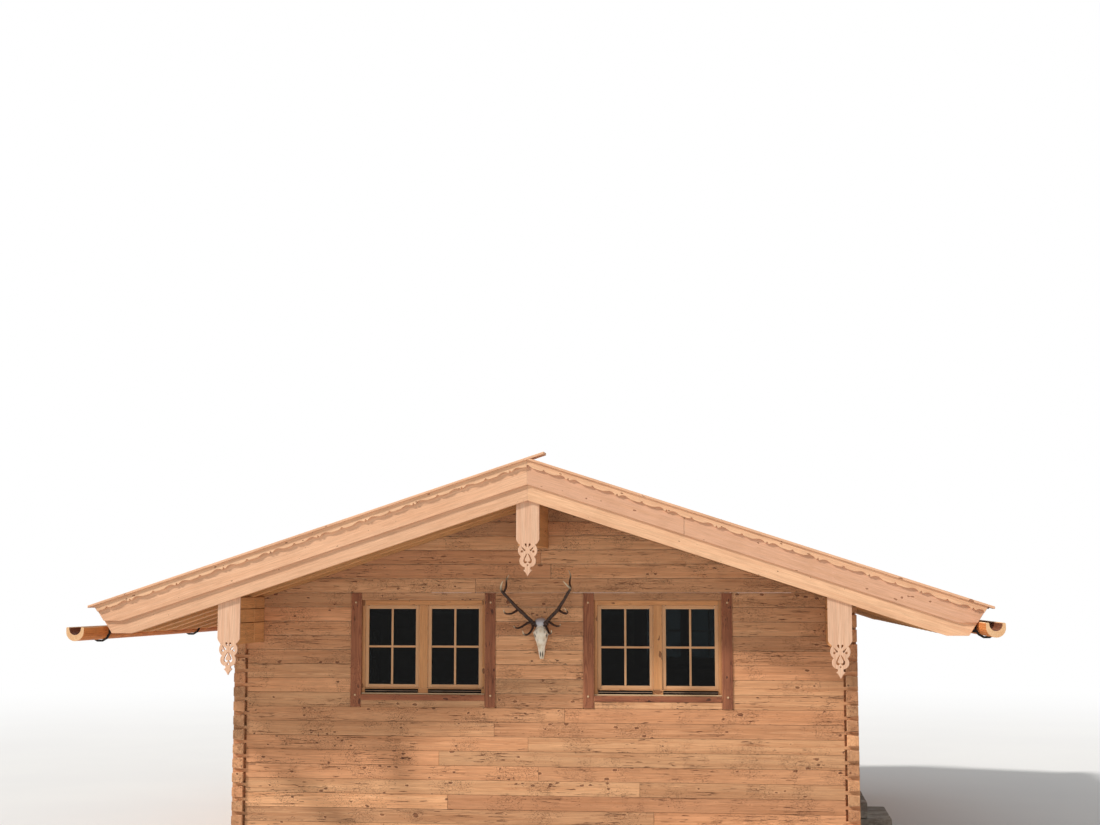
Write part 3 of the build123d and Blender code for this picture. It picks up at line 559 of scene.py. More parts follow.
wallLogs = {
    "seed": 11,
    "bevel": 0.0045, "faceShift": 0.0015, "jointGap": 0.0015, "buttGap": 0.003, "longest": 3.9,
    "headProud": 0.030, "headHeight": 0.112, "headGap": 0.026, "headGapDepth": 0.040, "tailFlare": 0.005,
    "windowCenter": 1.283, "windowHalf": 0.805, "windowFoot": 1.755, "windowHead": 2.995,
    "sideWindowY": 2.0, "sideWindowFoot": 1.3675,
    "doorHalf": 0.56, "doorFoot": 0.5925, "doorHead": 2.6075,
    "purlinHalf": 0.1, "eavesPurlinX": 3.175, "eavesPurlinFoot": 2.4525, "ridgePurlinFoot": 3.48,
}
purlinPockets = [(-wallLogs["eavesPurlinX"], wallLogs["eavesPurlinFoot"]), (0.0, wallLogs["ridgePurlinFoot"]),
                 (wallLogs["eavesPurlinX"], wallLogs["eavesPurlinFoot"])]


def cutOut(spans, low, high):
    parts = [part for start, end in spans
             for part in ([(start, end)] if high <= start or low >= end else [(start, low), (high, end)])]
    return [part for part in parts if part[1] - part[0] > 1e-4]


def logRuns(spans, longest, rng):
    # the logs of one course; a long span is butted from two
    gap = wallLogs["buttGap"] / 2
    for start, stop in spans:
        cuts = [start, stop]
        if stop - start > longest:
            cuts.insert(1, rng.uniform(start + 0.30 * (stop - start), start + 0.70 * (stop - start)))
        for a, b in zip(cuts, cuts[1:]):
            yield a + (0 if a == start else gap), b - (0 if b == stop else gap)


def notchTop(outline, low, high, floor):
    # sinks the upper edge of an outline to floor between x = low and x = high
    top = max(z for _, z in outline) - 1e-6
    ends = [x for x, z in outline if z > top]
    a, b = max(min(ends), low), min(max(ends), high)
    if b - a < 0.005:
        return outline
    first = next(n for n, (x, z) in enumerate(outline) if z > top)
    kept = [[p for p in part if not (p[1] > top and a - 1e-6 < p[0] < b + 1e-6)]
            for part in (outline[:first], outline[first:])]
    lead = [p for p in kept[1] if p[1] > top and p[0] > b]
    step = [(b, floor), (a, floor)]
    if b < max(ends) - 1e-6:
        step.insert(0, (b, top + 1e-6))
    if a > min(ends) + 1e-6:
        step.append((a, top + 1e-6))
    return kept[0] + lead + step + [p for p in kept[1] if p not in lead]


def clipBelow(outline, height, lean):
    # keeps the part of an outline in x and z below the line z = height + lean * x
    kept = []
    for (x0, z0), (x1, z1) in zip(outline, outline[1:] + outline[:1]):
        over0, over1 = z0 - height - lean * x0, z1 - height - lean * x1
        if over0 <= 0:
            kept.append((x0, z0))
        if over0 * over1 < 0:
            share = over0 / (over0 - over1)
            kept.append((x0 + share * (x1 - x0), z0 + share * (z1 - z0)))
    return kept


def headShape():
    # how far the crossed heads are cut in at the wall and at their end
    neck = (h.logHeight - wallLogs["headHeight"]) / 2 - wallLogs["tailFlare"]
    return neck, neck + 2 * wallLogs["tailFlare"]


def tailedLogBm(a, b, low, high, tailLeft, tailRight, outer, level):
    # a gable log with its tails; from the face inward, a gap stays open beside the side logs' heads
    w = SimpleNamespace(**wallLogs)
    middle = (low + high) / 2
    neck, flare = headShape()

    def section(y, gap):
        root = innerX - gap
        points = [(-root, low)] if tailLeft else [(a, low)]
        if tailRight:
            points += [(root, low), (root, middle - neck), (b, middle - flare), (b, middle + flare),
                       (root, middle + neck), (root, high)]
        else:
            points += [(b, low), (b, high)]
        if tailLeft:
            points += [(-root, high), (-root, middle + neck), (a, middle + flare), (a, middle - flare),
                       (-root, middle - neck)]
        else:
            points += [(a, high)]
        return [(x, y, z - level) for x, z in points]

    inward = -outer + w.headGapDepth
    bm = loft([section(-outer, w.headGap), section(inward, w.headGap), section(inward + 0.0005, 0.0),
               section(-innerY, 0.0)])
    bevelEdges(bm, w.bevel * 0.8, 2)
    return bm


def buildGable(name, end, nodes):
    w = SimpleNamespace(**wallLogs)
    rng = random.Random(w.seed + end)
    store = newStore()
    for course in range(h.courses):
        foot = h.plinthHeight + course * h.logHeight
        top, level = foot + h.logHeight, foot + h.logHeight / 2
        low, high = foot + w.jointGap, top - w.jointGap
        tailed = course < h.tailCourses
        reach = min(h.halfWidth if tailed else innerX, (h.rafterFoot - foot) / h.slope)
        if reach < 0.05:
            continue
        spans = [(-reach, reach)]
        if foot < w.windowHead - 0.01 and top > w.windowFoot + 0.01:
            for side in (-1, 1):
                spans = cutOut(spans, side * w.windowCenter - w.windowHalf, side * w.windowCenter + w.windowHalf)
        for middle, pocketFoot in purlinPockets:
            if foot > pocketFoot - 0.01:
                spans = cutOut(spans, middle - w.purlinHalf, middle + w.purlinHalf)
        for a, b in logRuns(spans, w.longest, rng):
            outer = h.halfLength - 0.002 + rng.uniform(-1, 1) * w.faceShift
            tailLeft, tailRight = tailed and a < -innerX, tailed and b > innerX
            if tailLeft or tailRight:
                bm = tailedLogBm(a, b, low, high, tailLeft, tailRight, outer, level)
                if end > 0:
                    flip(bm, (1, -1, 1, 1))
            else:
                outline = [(a, low), (b, low), (b, high), (a, high)]
                for middle, pocketFoot in purlinPockets:
                    if foot < pocketFoot - 0.01 and top > pocketFoot + 0.01:
                        outline = notchTop(outline, middle - w.purlinHalf, middle + w.purlinHalf,
                                           pocketFoot - w.jointGap)
                for lean in (-h.slope, h.slope):
                    outline = clipBelow(outline, h.rafterFoot - 0.0005, lean)
                heights = [z for _, z in outline]
                if len(outline) < 3 or max(heights) - min(heights) < 0.012:
                    continue
                bm = prismBm([(x, z - foot - h.logHeight / 2) for x, z in outline],
                             -outer if end < 0 else innerY, -innerY if end < 0 else outer, w.bevel, 2)
            putBoard(store, bm, rng, at(0, 0, level), at(0, -end * h.halfLength, 0))
    makePiece(name, store, [wood["wallLog"]], nodes)


def sideLogBm(side, a, b, low, high, foot, outer, course):
    # a side log along y; at a corner its head narrows between the gable logs' tails
    neck, flare = headShape()
    under, over = low <= foot + 0.01, course < h.tailCourses
    roofOuter = slopeZ(h.rafterFoot, outer) - 0.0005

    def full(y):
        return [(side * innerX, y, low), (side * outer, y, low), (side * outer, y, min(high, roofOuter)),
                (side * innerX, y, high)]

    def head(y):
        above = foot + h.logHeight
        return [(side * innerX, y, foot + neck if under else low),
                (side * outer, y, foot + flare if under else low),
                (side * outer, y, min(above - over * flare, roofOuter) - 0.0005),
                (side * innerX, y, (min(above - neck, high) if over else high) - 0.0005)]

    rings = [head(a), head(-innerY), full(-innerY)] if a < -innerY else [full(a)]
    rings += [full(innerY), head(innerY), head(b)] if b > innerY else [full(b)]
    bm = loft(rings)
    bevelEdges(bm, wallLogs["bevel"], 2)
    return bm


def buildSideWall(name, side, nodes, openings):
    w = SimpleNamespace(**wallLogs)
    rng = random.Random(w.seed * 7 + side)
    store = newStore()
    reach = h.halfLength + w.headProud
    roofZ = slopeZ(h.rafterFoot, innerX)
    for course in range(h.courses):
        foot = h.plinthHeight + (course - 0.5) * h.logHeight
        if foot >= roofZ - 0.02:
            break
        low = max(foot, h.plinthHeight) + w.jointGap
        high = min(foot + h.logHeight, roofZ) - w.jointGap
        spans = [(-reach, reach)]
        for middle, half, bottom, top in openings:
            if low < top - 0.01 and high > bottom + 0.01:
                spans = cutOut(spans, middle - half, middle + half)
        for a, b in logRuns(spans, w.longest * 1.2, rng):
            outer = h.halfWidth - 0.002 + rng.uniform(-1, 1) * w.faceShift
            bm = sideLogBm(side, a, b, low, high, foot, outer, course)
            put(store, bm, still, lengthwise, rng.random(), 0,
                (rng.uniform(0, 60), side * h.halfWidth * -1 + rng.uniform(-0.03, 0.06), -(low + high) / 2))
    makePiece(name, store, [wood["wallLog"]], nodes)


buildGable("frontWall", -1, ["front_logs_a", "front_logs_b"])
buildGable("backWall", 1, ["back_logs_a", "back_logs_b"])
sideOpenings = [(y * wallLogs["sideWindowY"], wallLogs["windowHalf"], wallLogs["sideWindowFoot"],
                 wallLogs["sideWindowFoot"] + 1.24) for y in (-1, 1)]
doorOpening = [(0, wallLogs["doorHalf"], wallLogs["doorFoot"], wallLogs["doorHead"])]
buildSideWall("leftWall", -1, ["left_logs_a", "left_logs_b"], sideOpenings)
buildSideWall("rightWall", 1, ["right_logs_a", "right_logs_b"], sideOpenings + doorOpening)
print("walls built")

# roof timbers

roofTimbers = {
    "seed": 23,
    "innerRafters": 15, "rafterWidth": 0.120, "bevel": 0.004,
    "boardWidth": 0.118, "boardJoint": 0.003, "boardThick": 0.0262,
    "purlinReach": 4.92, "purlinBevel": 0.003, "beamJoints": (0.225, 0.372), "beamGap": 0.0035, "buttLine": 4.36,
}


def tilt(side, axis="Y"):
    return Matrix.Rotation(side * slopeAngle, 4, axis)


def slopeOutline(foot, top, side, levelCut=None, start=0.0005):
    # a strip along the slope, from the ridge to the rake or to a level cut at the eaves
    points = [(start, slopeZ(foot, start)), (start, slopeZ(top, start)), rakeEnd(top)]
    if levelCut is None:
        points.append(rakeEnd(foot))
    else:
        points += [(rakeX(levelCut), levelCut), ((foot - levelCut) / h.slope, levelCut)]
    return [(side * x, z) for x, z in points]


def buildRafters():
    r = SimpleNamespace(**roofTimbers)
    rng = random.Random(r.seed)
    store = newStore()
    half = r.rafterWidth / 2
    wallRow, vergeRow = h.halfLength - h.logThick / 2, h.vergeFace - half
    pitch = 2 * wallRow / (r.innerRafters + 1)
    rows = [-wallRow + n * pitch for n in range(r.innerRafters + 2)]
    for outerRow in (vergeRow, (vergeRow + wallRow) / 2):
        rows += [-outerRow, outerRow]
    for row in rows:
        for side in (-1, 1):
            bm = prismBm(slopeOutline(h.rafterFoot, deckFoot, side, tailCut), -half, half, r.bevel)
            centre = tilt(-side) @ Vector((side * 2.3, 0, slopeZ((h.rafterFoot + deckFoot) / 2, 2.3)))
            put(store, bm, at(0, row, 0), tilt(-side), rng.random(), 0,
                (rng.uniform(0, 60) - centre.x, 0.02, -centre.z + rng.uniform(-0.03, 0.03)))
    makePiece("rafterPairs", store, [wood["purlinTimber"]], ["rafters"])


def buildPurlins():
    # each eaves purlin shows three beams, one on the other; the ridge purlin is one beam
    r = SimpleNamespace(**roofTimbers)
    rng = random.Random(r.seed + 1)
    for name, side, node in (("leftEavesPurlin", -1, "left_purlin"), ("rightEavesPurlin", 1, "right_purlin")):
        store = newStore()
        low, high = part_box(node)
        inner, outer = sorted((abs(low.x), abs(high.x)))
        levels = [low.z, *(low.z + joint for joint in r.beamJoints), None]
        for level, nextLevel in zip(levels, levels[1:]):
            topInner, topOuter = (nextLevel or slopeZ(h.rafterFoot, x) for x in (inner, outer))
            for a, b in ((-r.purlinReach, -r.buttLine), (-r.buttLine, r.buttLine), (r.buttLine, r.purlinReach)):
                outline = [(side * inner, level + r.beamGap), (side * outer, level + r.beamGap),
                           (side * outer, topOuter - r.beamGap), (side * inner, topInner - r.beamGap)]
                bm = prismBm(outline, a + r.beamGap, b - r.beamGap, r.purlinBevel)
                tone, along = rng.random(), rng.uniform(0, 60)
                across = side * (inner + outer) / 2 + rng.uniform(-0.02, 0.02)
                put(store, bm, still, lengthwise, tone, 0, (along, across, -(level + topOuter) / 2))
        makePiece(name, store, [wood["purlinTimber"]], [node])
    store = newStore()
    low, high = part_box("ridge_purlin")
    shoulder = slopeZ(h.rafterFoot, high.x)
    outline = [(-high.x, low.z), (high.x, low.z), (high.x, shoulder), (0, h.rafterFoot), (-high.x, shoulder)]
    put(store, prismBm(outline, -r.purlinReach, r.purlinReach, r.purlinBevel), still, lengthwise, 0.6, 0,
        (7.3, 0.01, -3.66))
    makePiece("ridgeBeam", store, [wood["purlinTimber"]], ["ridge_purlin"])


def buildSoffit():
    # boards with open V joints over the rafters, seen from below
    r = SimpleNamespace(**roofTimbers)
    rng = random.Random(r.seed + 2)
    reach = rakeEnd(deckFoot)[0] * upright
    count = int(reach // (r.boardWidth + r.boardJoint))
    width = reach / count
    for name, side, node in (("leftSoffit", -1, "deck_left"), ("rightSoffit", 1, "deck_right")):
        store = newStore()
        for n in range(count):
            x = (n + 0.5) * width * math.cos(slopeAngle)
            bm = boxBm((2 * h.vergeFace - 0.002, width - r.boardJoint, r.boardThick), 0.004)
            place = at(side * x, 0, slopeZ(deckFoot, x) + h.deckThick / 2 * upright) @ tilt(side) @ turn(90, "Z")
            putBoard(store, bm, rng, place)
        makePiece(name, store, [wood["soffitBoard"]], [node])


buildRafters()
buildPurlins()
buildSoffit()
print("roof timbers built")

# shingles and ridge

shingles = {
    "seed": 31,
    "exposure": 0.155, "length": 0.40, "narrow": 0.075, "wide": 0.17, "sideGap": 0.004,
    "buttThick": 0.016, "raggedness": 0.006, "baseThick": 0.034,
}
ridgeButts = (-1.61, 1.657)   # where the three boards of the ridge meet, 4 mm apart


def buildShingles():
    s = SimpleNamespace(**shingles)
    ceiling = (capFoot - coverFoot) / upright - 0.0005
    margin = h.vergeFace - 0.001
    for name, side, node in (("leftShingles", -1, "cover_left"), ("rightShingles", 1, "cover_right")):
        rng = random.Random(s.seed + side)
        store = newStore()
        outline = slopeOutline(coverFoot, coverFoot + s.baseThick * upright, side)
        put(store, prismBm(outline, -h.vergeFace, h.vergeFace), still, tilt(-side), 0.5, 1)
        reach = rakeEnd(capFoot)[0] * upright
        for row in range(int(reach // s.exposure) + 1):
            butt = reach - row * s.exposure
            length = min(s.length, butt - 0.004)
            if length < 0.06:
                continue
            y = -margin - rng.uniform(0, 0.08)
            while y < h.vergeFace - 0.02:
                width = rng.uniform(s.narrow, s.wide)
                low, high = max(y, -margin), min(y + width, margin)
                y += width + s.sideGap
                if high - low < 0.03:
                    continue
                edge = butt - (rng.uniform(0, s.raggedness) if row else 0.0) - 0.002
                tip = butt - length
                thick = s.buttThick * rng.uniform(0.85, 1.0)
                topTip = ceiling - (ceiling - s.baseThick - thick) * min(1.0, length / s.length) - thick * 0.55
                bottomTip = max(topTip - 0.004, s.baseThick)
                bm = loft([[(tip, across, bottomTip), (edge, across, ceiling - thick), (edge, across, ceiling),
                            (tip, across, topTip)] for across in (low, high)])
                if rng.random() < 0.5:
                    bmesh.ops.rotate(bm, verts=bm.verts, cent=((tip + edge) / 2, (low + high) / 2, ceiling),
                                     matrix=Matrix.Rotation(rng.uniform(-0.006, 0.006), 3, "Z"))
                if side < 0:
                    flip(bm, (-1, 1, 1, 1))
                putBoard(store, bm, rng, at(0, 0, coverFoot) @ tilt(side))
        makePiece(name, store, [wood["shingle"], wood["soffitBoard"]], [node])


def buildRidge():
    rng = random.Random(5)
    store = newStore()
    low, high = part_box("ridge_boards")
    ends = [low.y, *(butt + gap for butt in ridgeButts for gap in (-0.002, 0.002)), high.y]
    for side in (-1, 1):
        outline = [(side * 0.0005, slopeZ(capFoot, 0)), (side * 0.0005, slopeZ(capTop, 0)),
                   (side * high.x, slopeZ(capTop, high.x)), (side * high.x, slopeZ(capFoot, high.x))]
        for a, b in zip(ends[::2], ends[1::2]):
            put(store, prismBm(outline, a, b, 0.003), still, lengthwise, rng.random(), 0,
                (rng.uniform(0, 60), 0.0, -capTop + 0.05))
    makePiece("ridgeCapping", store, [wood["newBoard"]], ["ridge_boards"])


buildShingles()
buildRidge()
print("shingles built")

# verge boards with their scallops, and the caps

vergeBoards = {
    "seed": 41,
    "lowerFace": 4.980, "middleFace": 5.005, "upperFace": 5.030, "capFace": 5.050,
    "lowerFoot": 3.947, "middleFoot": 4.113, "upperFoot": 4.295, "lowerCut": 0.006, "middleCut": 0.156,
    "capWidth": 0.200, "capTip": 4.690, "capLap": 0.180,
    "round": 0.0025, "butt": 1.62, "buttGap": 0.004,
    "scallopPitch": 0.507, "firstLeft": 0.174, "firstRight": 0.428,
    # half of the wide notch and the small cusp between two notches: distance from the middle, and rise
    "notch": [(0.150, 0.0), (0.095, 0.018)], "notchHeading": (-0.055, 0.016), "notchInner": (0.024, 0.0),
    "notchTip": [(0.012, 0.0)], "notchMiddle": 0.020,
    "cusp": [(-0.044, 0.0), (-0.017, 0.005), (0.0, 0.022), (0.017, 0.005), (0.044, 0.0)],
}


def arcPoints(x, y, radius, start, sweep, steps):
    # points on an arc, from step first to step last
    return [(x + radius * math.cos(start + sweep * n), y + radius * math.sin(start + sweep * n)) for n in steps]


def tangentArc(start, heading, stop, count):
    # arc that leaves start along heading and ends at stop
    chord = Vector(stop) - Vector(start)
    heading = Vector(heading).normalized()
    normal = Vector((-heading.y, heading.x))
    radius = chord.length_squared / (2 * chord.dot(normal))
    centre = Vector(start) + normal * radius
    first = math.atan2(start[1] - centre.y, start[0] - centre.x)
    sweep = math.atan2(stop[1] - centre.y, stop[0] - centre.x) - first
    if radius > 0 and sweep < 0:
        sweep += 2 * math.pi
    if radius < 0 and sweep > 0:
        sweep -= 2 * math.pi
    return arcPoints(centre.x, centre.y, abs(radius), first, sweep / count, range(1, count + 1))


def scallopRun(first, length):
    # lower edge of the scalloped board: distance along it, and rise above its straight line
    v = SimpleNamespace(**vergeBoards)
    half = v.notch + tangentArc(v.notch[-1], v.notchHeading, v.notchInner, 8) + v.notchTip
    notch = [(-d, n) for d, n in half] + [(0.0, v.notchMiddle)] + half[::-1]
    run = [(0.0, 0.0)]
    u = first - v.scallopPitch
    while u < length:
        for middle, shape in ((u, notch), (u + v.scallopPitch / 2, v.cusp)):
            for distance, rise in shape:
                t = middle * upright + distance
                if 0.001 < t < length * upright - 0.001:
                    if len(run) == 1 and rise > 0:
                        run[0] = (0.0, rise)
                    run.append((t, rise))
        u += v.scallopPitch
    return run


def scallopOutline(foot, side):
    cos, sin = math.cos(slopeAngle), math.sin(slopeAngle)
    edge = scallopRun(vergeBoards["firstLeft" if side < 0 else "firstRight"], rakeEnd(foot)[0])
    outline = [(t * cos + n * sin, foot - t * sin + n * cos) for t, n in edge]
    outline[0] = (0.0005, outline[0][1])
    outline += [rakeEnd(foot), rakeEnd(capFoot), (0.0005, capFoot)]
    return [(side * x, z) for x, z in outline]


def buildVerge(gable, end):
    v = SimpleNamespace(**vergeBoards)
    rng = random.Random(v.seed + end)
    for boardName, back, face, foot, cut in (
        ("lower", h.vergeFace, v.lowerFace, v.lowerFoot, tailCut - v.lowerCut),
        ("middle", v.lowerFace, v.middleFace, v.middleFoot, eavesHeight - v.middleCut),
        ("upper", v.middleFace, v.upperFace, v.upperFoot, None),
    ):
        store = newStore()
        for side in (-1, 1):
            loops = [slopeOutline(foot, capFoot, side, cut)]
            if boardName == "upper":
                loops = [scallopOutline(foot, side)]
            elif boardName == "middle" and side > 0:
                near, far = v.butt - v.buttGap / 2, v.butt + v.buttGap / 2
                loops = [loops[0][:2] + [(near, slopeZ(capFoot, near)), (near, slopeZ(foot, near))],
                         slopeOutline(foot, capFoot, side, cut, far)]
            bm = outlineBm(loops, face - back - 0.0004, v.round)
            centre = tilt(side, "Z") @ Vector((side * 2.3, slopeZ(foot + 0.1, 2.3), 0))
            put(store, bm, at(0, end * (face + back) / 2, 0) @ turn(90, "X"), turn(90, "X") @ tilt(side, "Z"),
                rng.random(), 0,
                (rng.uniform(0, 60), 0.03 + rng.uniform(-0.01, 0.02), -centre.y + rng.uniform(-0.05, 0.05)))
        makePiece(f"{boardName}Verge{gable.title()}", store, [wood["newBoard"]],
                  [f"{boardName}_verge_{gable}"])
    # the left cap laps over the right one at the ridge
    store = newStore()
    lapJoint = 0.001 * upright
    meeting = (capTop - capFoot + lapJoint) / (2 * h.slope)
    tip, lap, slope = v.capTip, v.capLap, h.slope
    capOutlines = [
        [(-tip, slopeZ(capFoot, tip)), (lap, capFoot + slope * lap), (lap, capTop + slope * lap),
         (-tip, slopeZ(capTop, tip))],
        [(lapJoint / slope, capFoot - lapJoint), (meeting, capFoot + slope * meeting - lapJoint),
         (tip, slopeZ(capTop, tip)), (tip, slopeZ(capFoot, tip))],
    ]
    low, high = sorted((end * v.capFace, end * (v.capFace - v.capWidth)))
    for side, outline in zip((-1, 1), capOutlines):
        put(store, prismBm(outline, low, high, 0.003), still, tilt(-side), rng.random(), 0,
            (rng.uniform(0, 60), -end * 4.9, -capTop + 0.12))
    makePiece(f"vergeCap{gable.title()}", store, [wood["newBoard"]], [f"verge_cap_{gable}"])


buildVerge("front", -1)
buildVerge("back", 1)
print("verge boards built")

# pendants: fretted boards on the purlin ends

pendants = {
    "seed": 51,
    "thick": 0.030, "half": 0.120, "shoulder": 0.064, "round": 0.0022,
    # right side of the outline from the shoulder down, below the shoulder's line
    "corner": (0.107, -0.027), "neck": (0.079, -0.056), "lobe": (0.099, -0.122), "pinch": (0.068, -0.177),
    "lowerLobe": (0.085, -0.222), "waist": (0.048, -0.281), "notch": (0.027, -0.292), "spike": (0.046, -0.316),
    "barb": (0.022, -0.340), "tip": (0.0, -0.379),
    # holes: drops by tip, bulb and radius, eyes, a bead and the tendril
    "drops": [((0.010, -0.083), (0.021, -0.051), 0.0110), ((0.068, -0.070), (0.033, -0.110), 0.0100)],
    "eye": (0.060, -0.124, 0.0125), "bead": (0.0, -0.265, 0.0095),
    "tendril": [(0.003, -0.141), (0.029, -0.174), (0.045, -0.216), (0.038, -0.240), (0.019, -0.247),
                (0.004, -0.229), (0.019, -0.226), (0.029, -0.210), (0.015, -0.178)],
}


def threePointArc(start, through, stop, count):
    (x1, y1), (x2, y2), (x3, y3) = start, through, stop
    d = 2 * (x1 * (y2 - y3) + x2 * (y3 - y1) + x3 * (y1 - y2))
    s1, s2, s3 = x1 * x1 + y1 * y1, x2 * x2 + y2 * y2, x3 * x3 + y3 * y3
    cx = (s1 * (y2 - y3) + s2 * (y3 - y1) + s3 * (y1 - y2)) / d
    cy = (s1 * (x3 - x2) + s2 * (x1 - x3) + s3 * (x2 - x1)) / d
    a1, a2, a3 = (math.atan2(y - cy, x - cx) for x, y in (start, through, stop))
    sweep = (a3 - a1) % (2 * math.pi)
    if (a2 - a1) % (2 * math.pi) > sweep:
        sweep -= 2 * math.pi
    return arcPoints(cx, cy, math.hypot(x1 - cx, y1 - cy), a1, sweep / count, range(1, count + 1))


def smoothBetween(p0, p1, p2, p3, t):
    # place t between p1 and p2 of a smooth line through four points
    return 0.5 * (2 * p1 + (p2 - p0) * t + (2 * p0 - 5 * p1 + 4 * p2 - p3) * t * t
                  + (3 * p1 - p0 - 3 * p2 + p3) * t ** 3)


def smoothLoop(points, steps):
    # closed smooth line through points
    count = len(points)
    fours = [[Vector(points[(k + n - 1) % count]) for n in range(4)] for k in range(count)]
    return [tuple(smoothBetween(*four, step / steps)) for four in fours for step in range(steps)]


def smoothLine(points, steps):
    # smooth open line through points given as tuples of any length
    last = len(points) - 1
    fours = [[points[min(max(k + n - 1, 0), last)] for n in range(4)] for k in range(last)]
    return [tuple(smoothBetween(*values, step / steps) for values in zip(*four))
            for four in fours for step in range(steps)] + [tuple(points[-1])]


def ringLoop(x, y, radius, count=14):
    return arcPoints(x, y, radius, 0.0, 2 * math.pi / count, range(count))


def dropLoop(tip, bulb, radius):
    axis = Vector(bulb) - Vector(tip)
    spread = math.pi / 2 + math.asin(radius / axis.length)
    return [tip] + arcPoints(*bulb, radius, math.atan2(axis.y, axis.x) + spread, -2 * spread / 10, range(11))


def pendantLoops(tops):
    # outer line and holes of one pendant; tops are its upper edge's left, middle and right heights
    p = SimpleNamespace(**pendants)
    right = [(p.half, 0.0)]
    for start, through, stop, count in (((p.half, 0), p.corner, p.neck, 6), (p.neck, p.lobe, p.pinch, 10),
                                        (p.pinch, p.lowerLobe, p.waist, 10), (p.waist, p.notch, p.spike, 5)):
        right += threePointArc(start, through, stop, count)
    right.append(p.barb)
    upper = [(-p.half, tops[0]), (0.0, tops[1]), (p.half, tops[2])]
    if abs((tops[0] + tops[2]) / 2 - tops[1]) < 1e-4:
        upper.pop(1)
    loops = [upper + right + [p.tip] + [(-x, y) for x, y in reversed(right)]]
    for side in (-1, 1):
        for dropTip, bulb, radius in p.drops:
            loops.append(dropLoop((side * dropTip[0], dropTip[1]), (side * bulb[0], bulb[1]), radius))
        loops.append(ringLoop(side * p.eye[0], *p.eye[1:]))
        loops.append([(side * x, y) for x, y in smoothLoop(p.tendril, 4)])
    return loops + [ringLoop(*p.bead)]


def buildPendants(gable, end):
    p = SimpleNamespace(**pendants)
    rng = random.Random(p.seed + end)
    store = newStore()
    for middle, purlinFoot in purlinPockets:
        shoulder = purlinFoot + p.shoulder
        tops = [slopeZ(h.rafterFoot, middle + offset) - shoulder for offset in (-p.half, 0, p.half)]
        place = at(middle, end * (roofTimbers["purlinReach"] + p.thick / 2), shoulder) @ turn(90, "X")
        put(store, outlineBm(pendantLoops(tops), p.thick - 0.0004, p.round), place, turn(90, "Z"), rng.random(), 0,
            (rng.uniform(0, 60), rng.uniform(-0.02, 0.02), 0.06))
    makePiece(f"pendants{gable.title()}", store, [wood["carvedBoard"]], [f"pendants_{gable}"])


buildPendants("front", -1)
buildPendants("back", 1)
print("pendants carved")

# gutters hollowed from logs

gutters = {
    "seed": 61,
    "width": 0.190, "depth": 0.145, "troughWidth": 0.124, "troughDepth": 0.080, "troughBend": 0.016,
    "rimRound": 0.007, "stations": 56, "hewn": 0.0016,
}


def gutterSection(field, y):
    # U section from the outer rim round the bottom and back through the trough; rim at height 0
    g = SimpleNamespace(**gutters)
    radius, inner = g.width / 2, g.troughWidth / 2
    bend = -g.depth + radius
    points = [(-radius, -g.rimRound + (bend + g.rimRound) * n / 4) for n in range(5)]
    points += arcPoints(0, bend, radius, math.pi, math.pi / 14, range(1, 14))
    points += [(radius, bend + (-g.rimRound - bend) * n / 4) for n in range(5)]
    points += [(radius - g.rimRound, 0.0), (inner + g.rimRound, 0.0), (inner, -g.rimRound)]
    for n in range(13):
        angle = -math.pi * n / 12
        points.append((inner * math.cos(angle) * 0.985,
                       -g.troughBend + (g.troughDepth - g.troughBend) * math.sin(angle)))
    points += [(-inner, -g.rimRound), (-inner - g.rimRound, 0.0), (-radius + g.rimRound, 0.0)]
    made = []
    for x, z in points:
        wobble = noise.noise(Vector((x * 14 + field, y * 1.7, z * 14)))
        ripple = noise.noise(Vector((x * 40, y * 6 + field, z * 40)))
        inset = g.hewn * (1 + wobble * 0.7 + ripple * 0.3)
        if abs(x) > inner + 0.011 or z < -g.troughDepth - 0.01:
            outward = -inset / (math.hypot(x, z - bend) or 1.0)
        else:
            outward = inset / (math.hypot(x, z - bend) or 1.0)
        made.append((x + outward * x, y, z + outward * (z - bend) if z < -0.001 else z - inset * 0.6))
    return made


def buildGutter(name, node):
    g = SimpleNamespace(**gutters)
    rng = random.Random(g.seed + len(name))
    low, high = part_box(node)
    middle, rim = (low.x + high.x) / 2, high.z
    store = newStore()
    field = rng.uniform(0, 20)
    length = high.y - low.y - 0.003
    bm = loft([gutterSection(field, low.y + 0.0015 + length * n / g.stations) for n in range(g.stations + 1)])
    bmesh.ops.triangulate(bm, faces=[face for face in bm.faces if len(face.verts) > 4])
    put(store, bm, at(middle, 0, rim), lengthwise, 0.5, 0, (3.0 + field, 0.0, 0.07))
    # fresh cuts at the ends and on the rims, a dark hollow in the trough
    for n, corners in enumerate(store["faces"]):
        points = [store["points"][corner] for corner in corners]
        along = [point.y for point in points]
        if max(along) - min(along) < 0.01 or all(point.z > rim - 0.010 for point in points):
            store["finish"][n] = 2
        elif all(abs(point.x - middle) < g.troughWidth / 2 + 0.003 and point.z > rim - g.troughDepth - 0.004
                 for point in points):
            store["finish"][n] = 1
    makePiece(name, store, [wood["gutterLog"], wood["gutterHollow"], wood["freshCut"]], [node])


buildGutter("leftLogGutter", "left_gutter")
buildGutter("rightLogGutter", "right_gutter")
print("gutters hollowed")

# windows

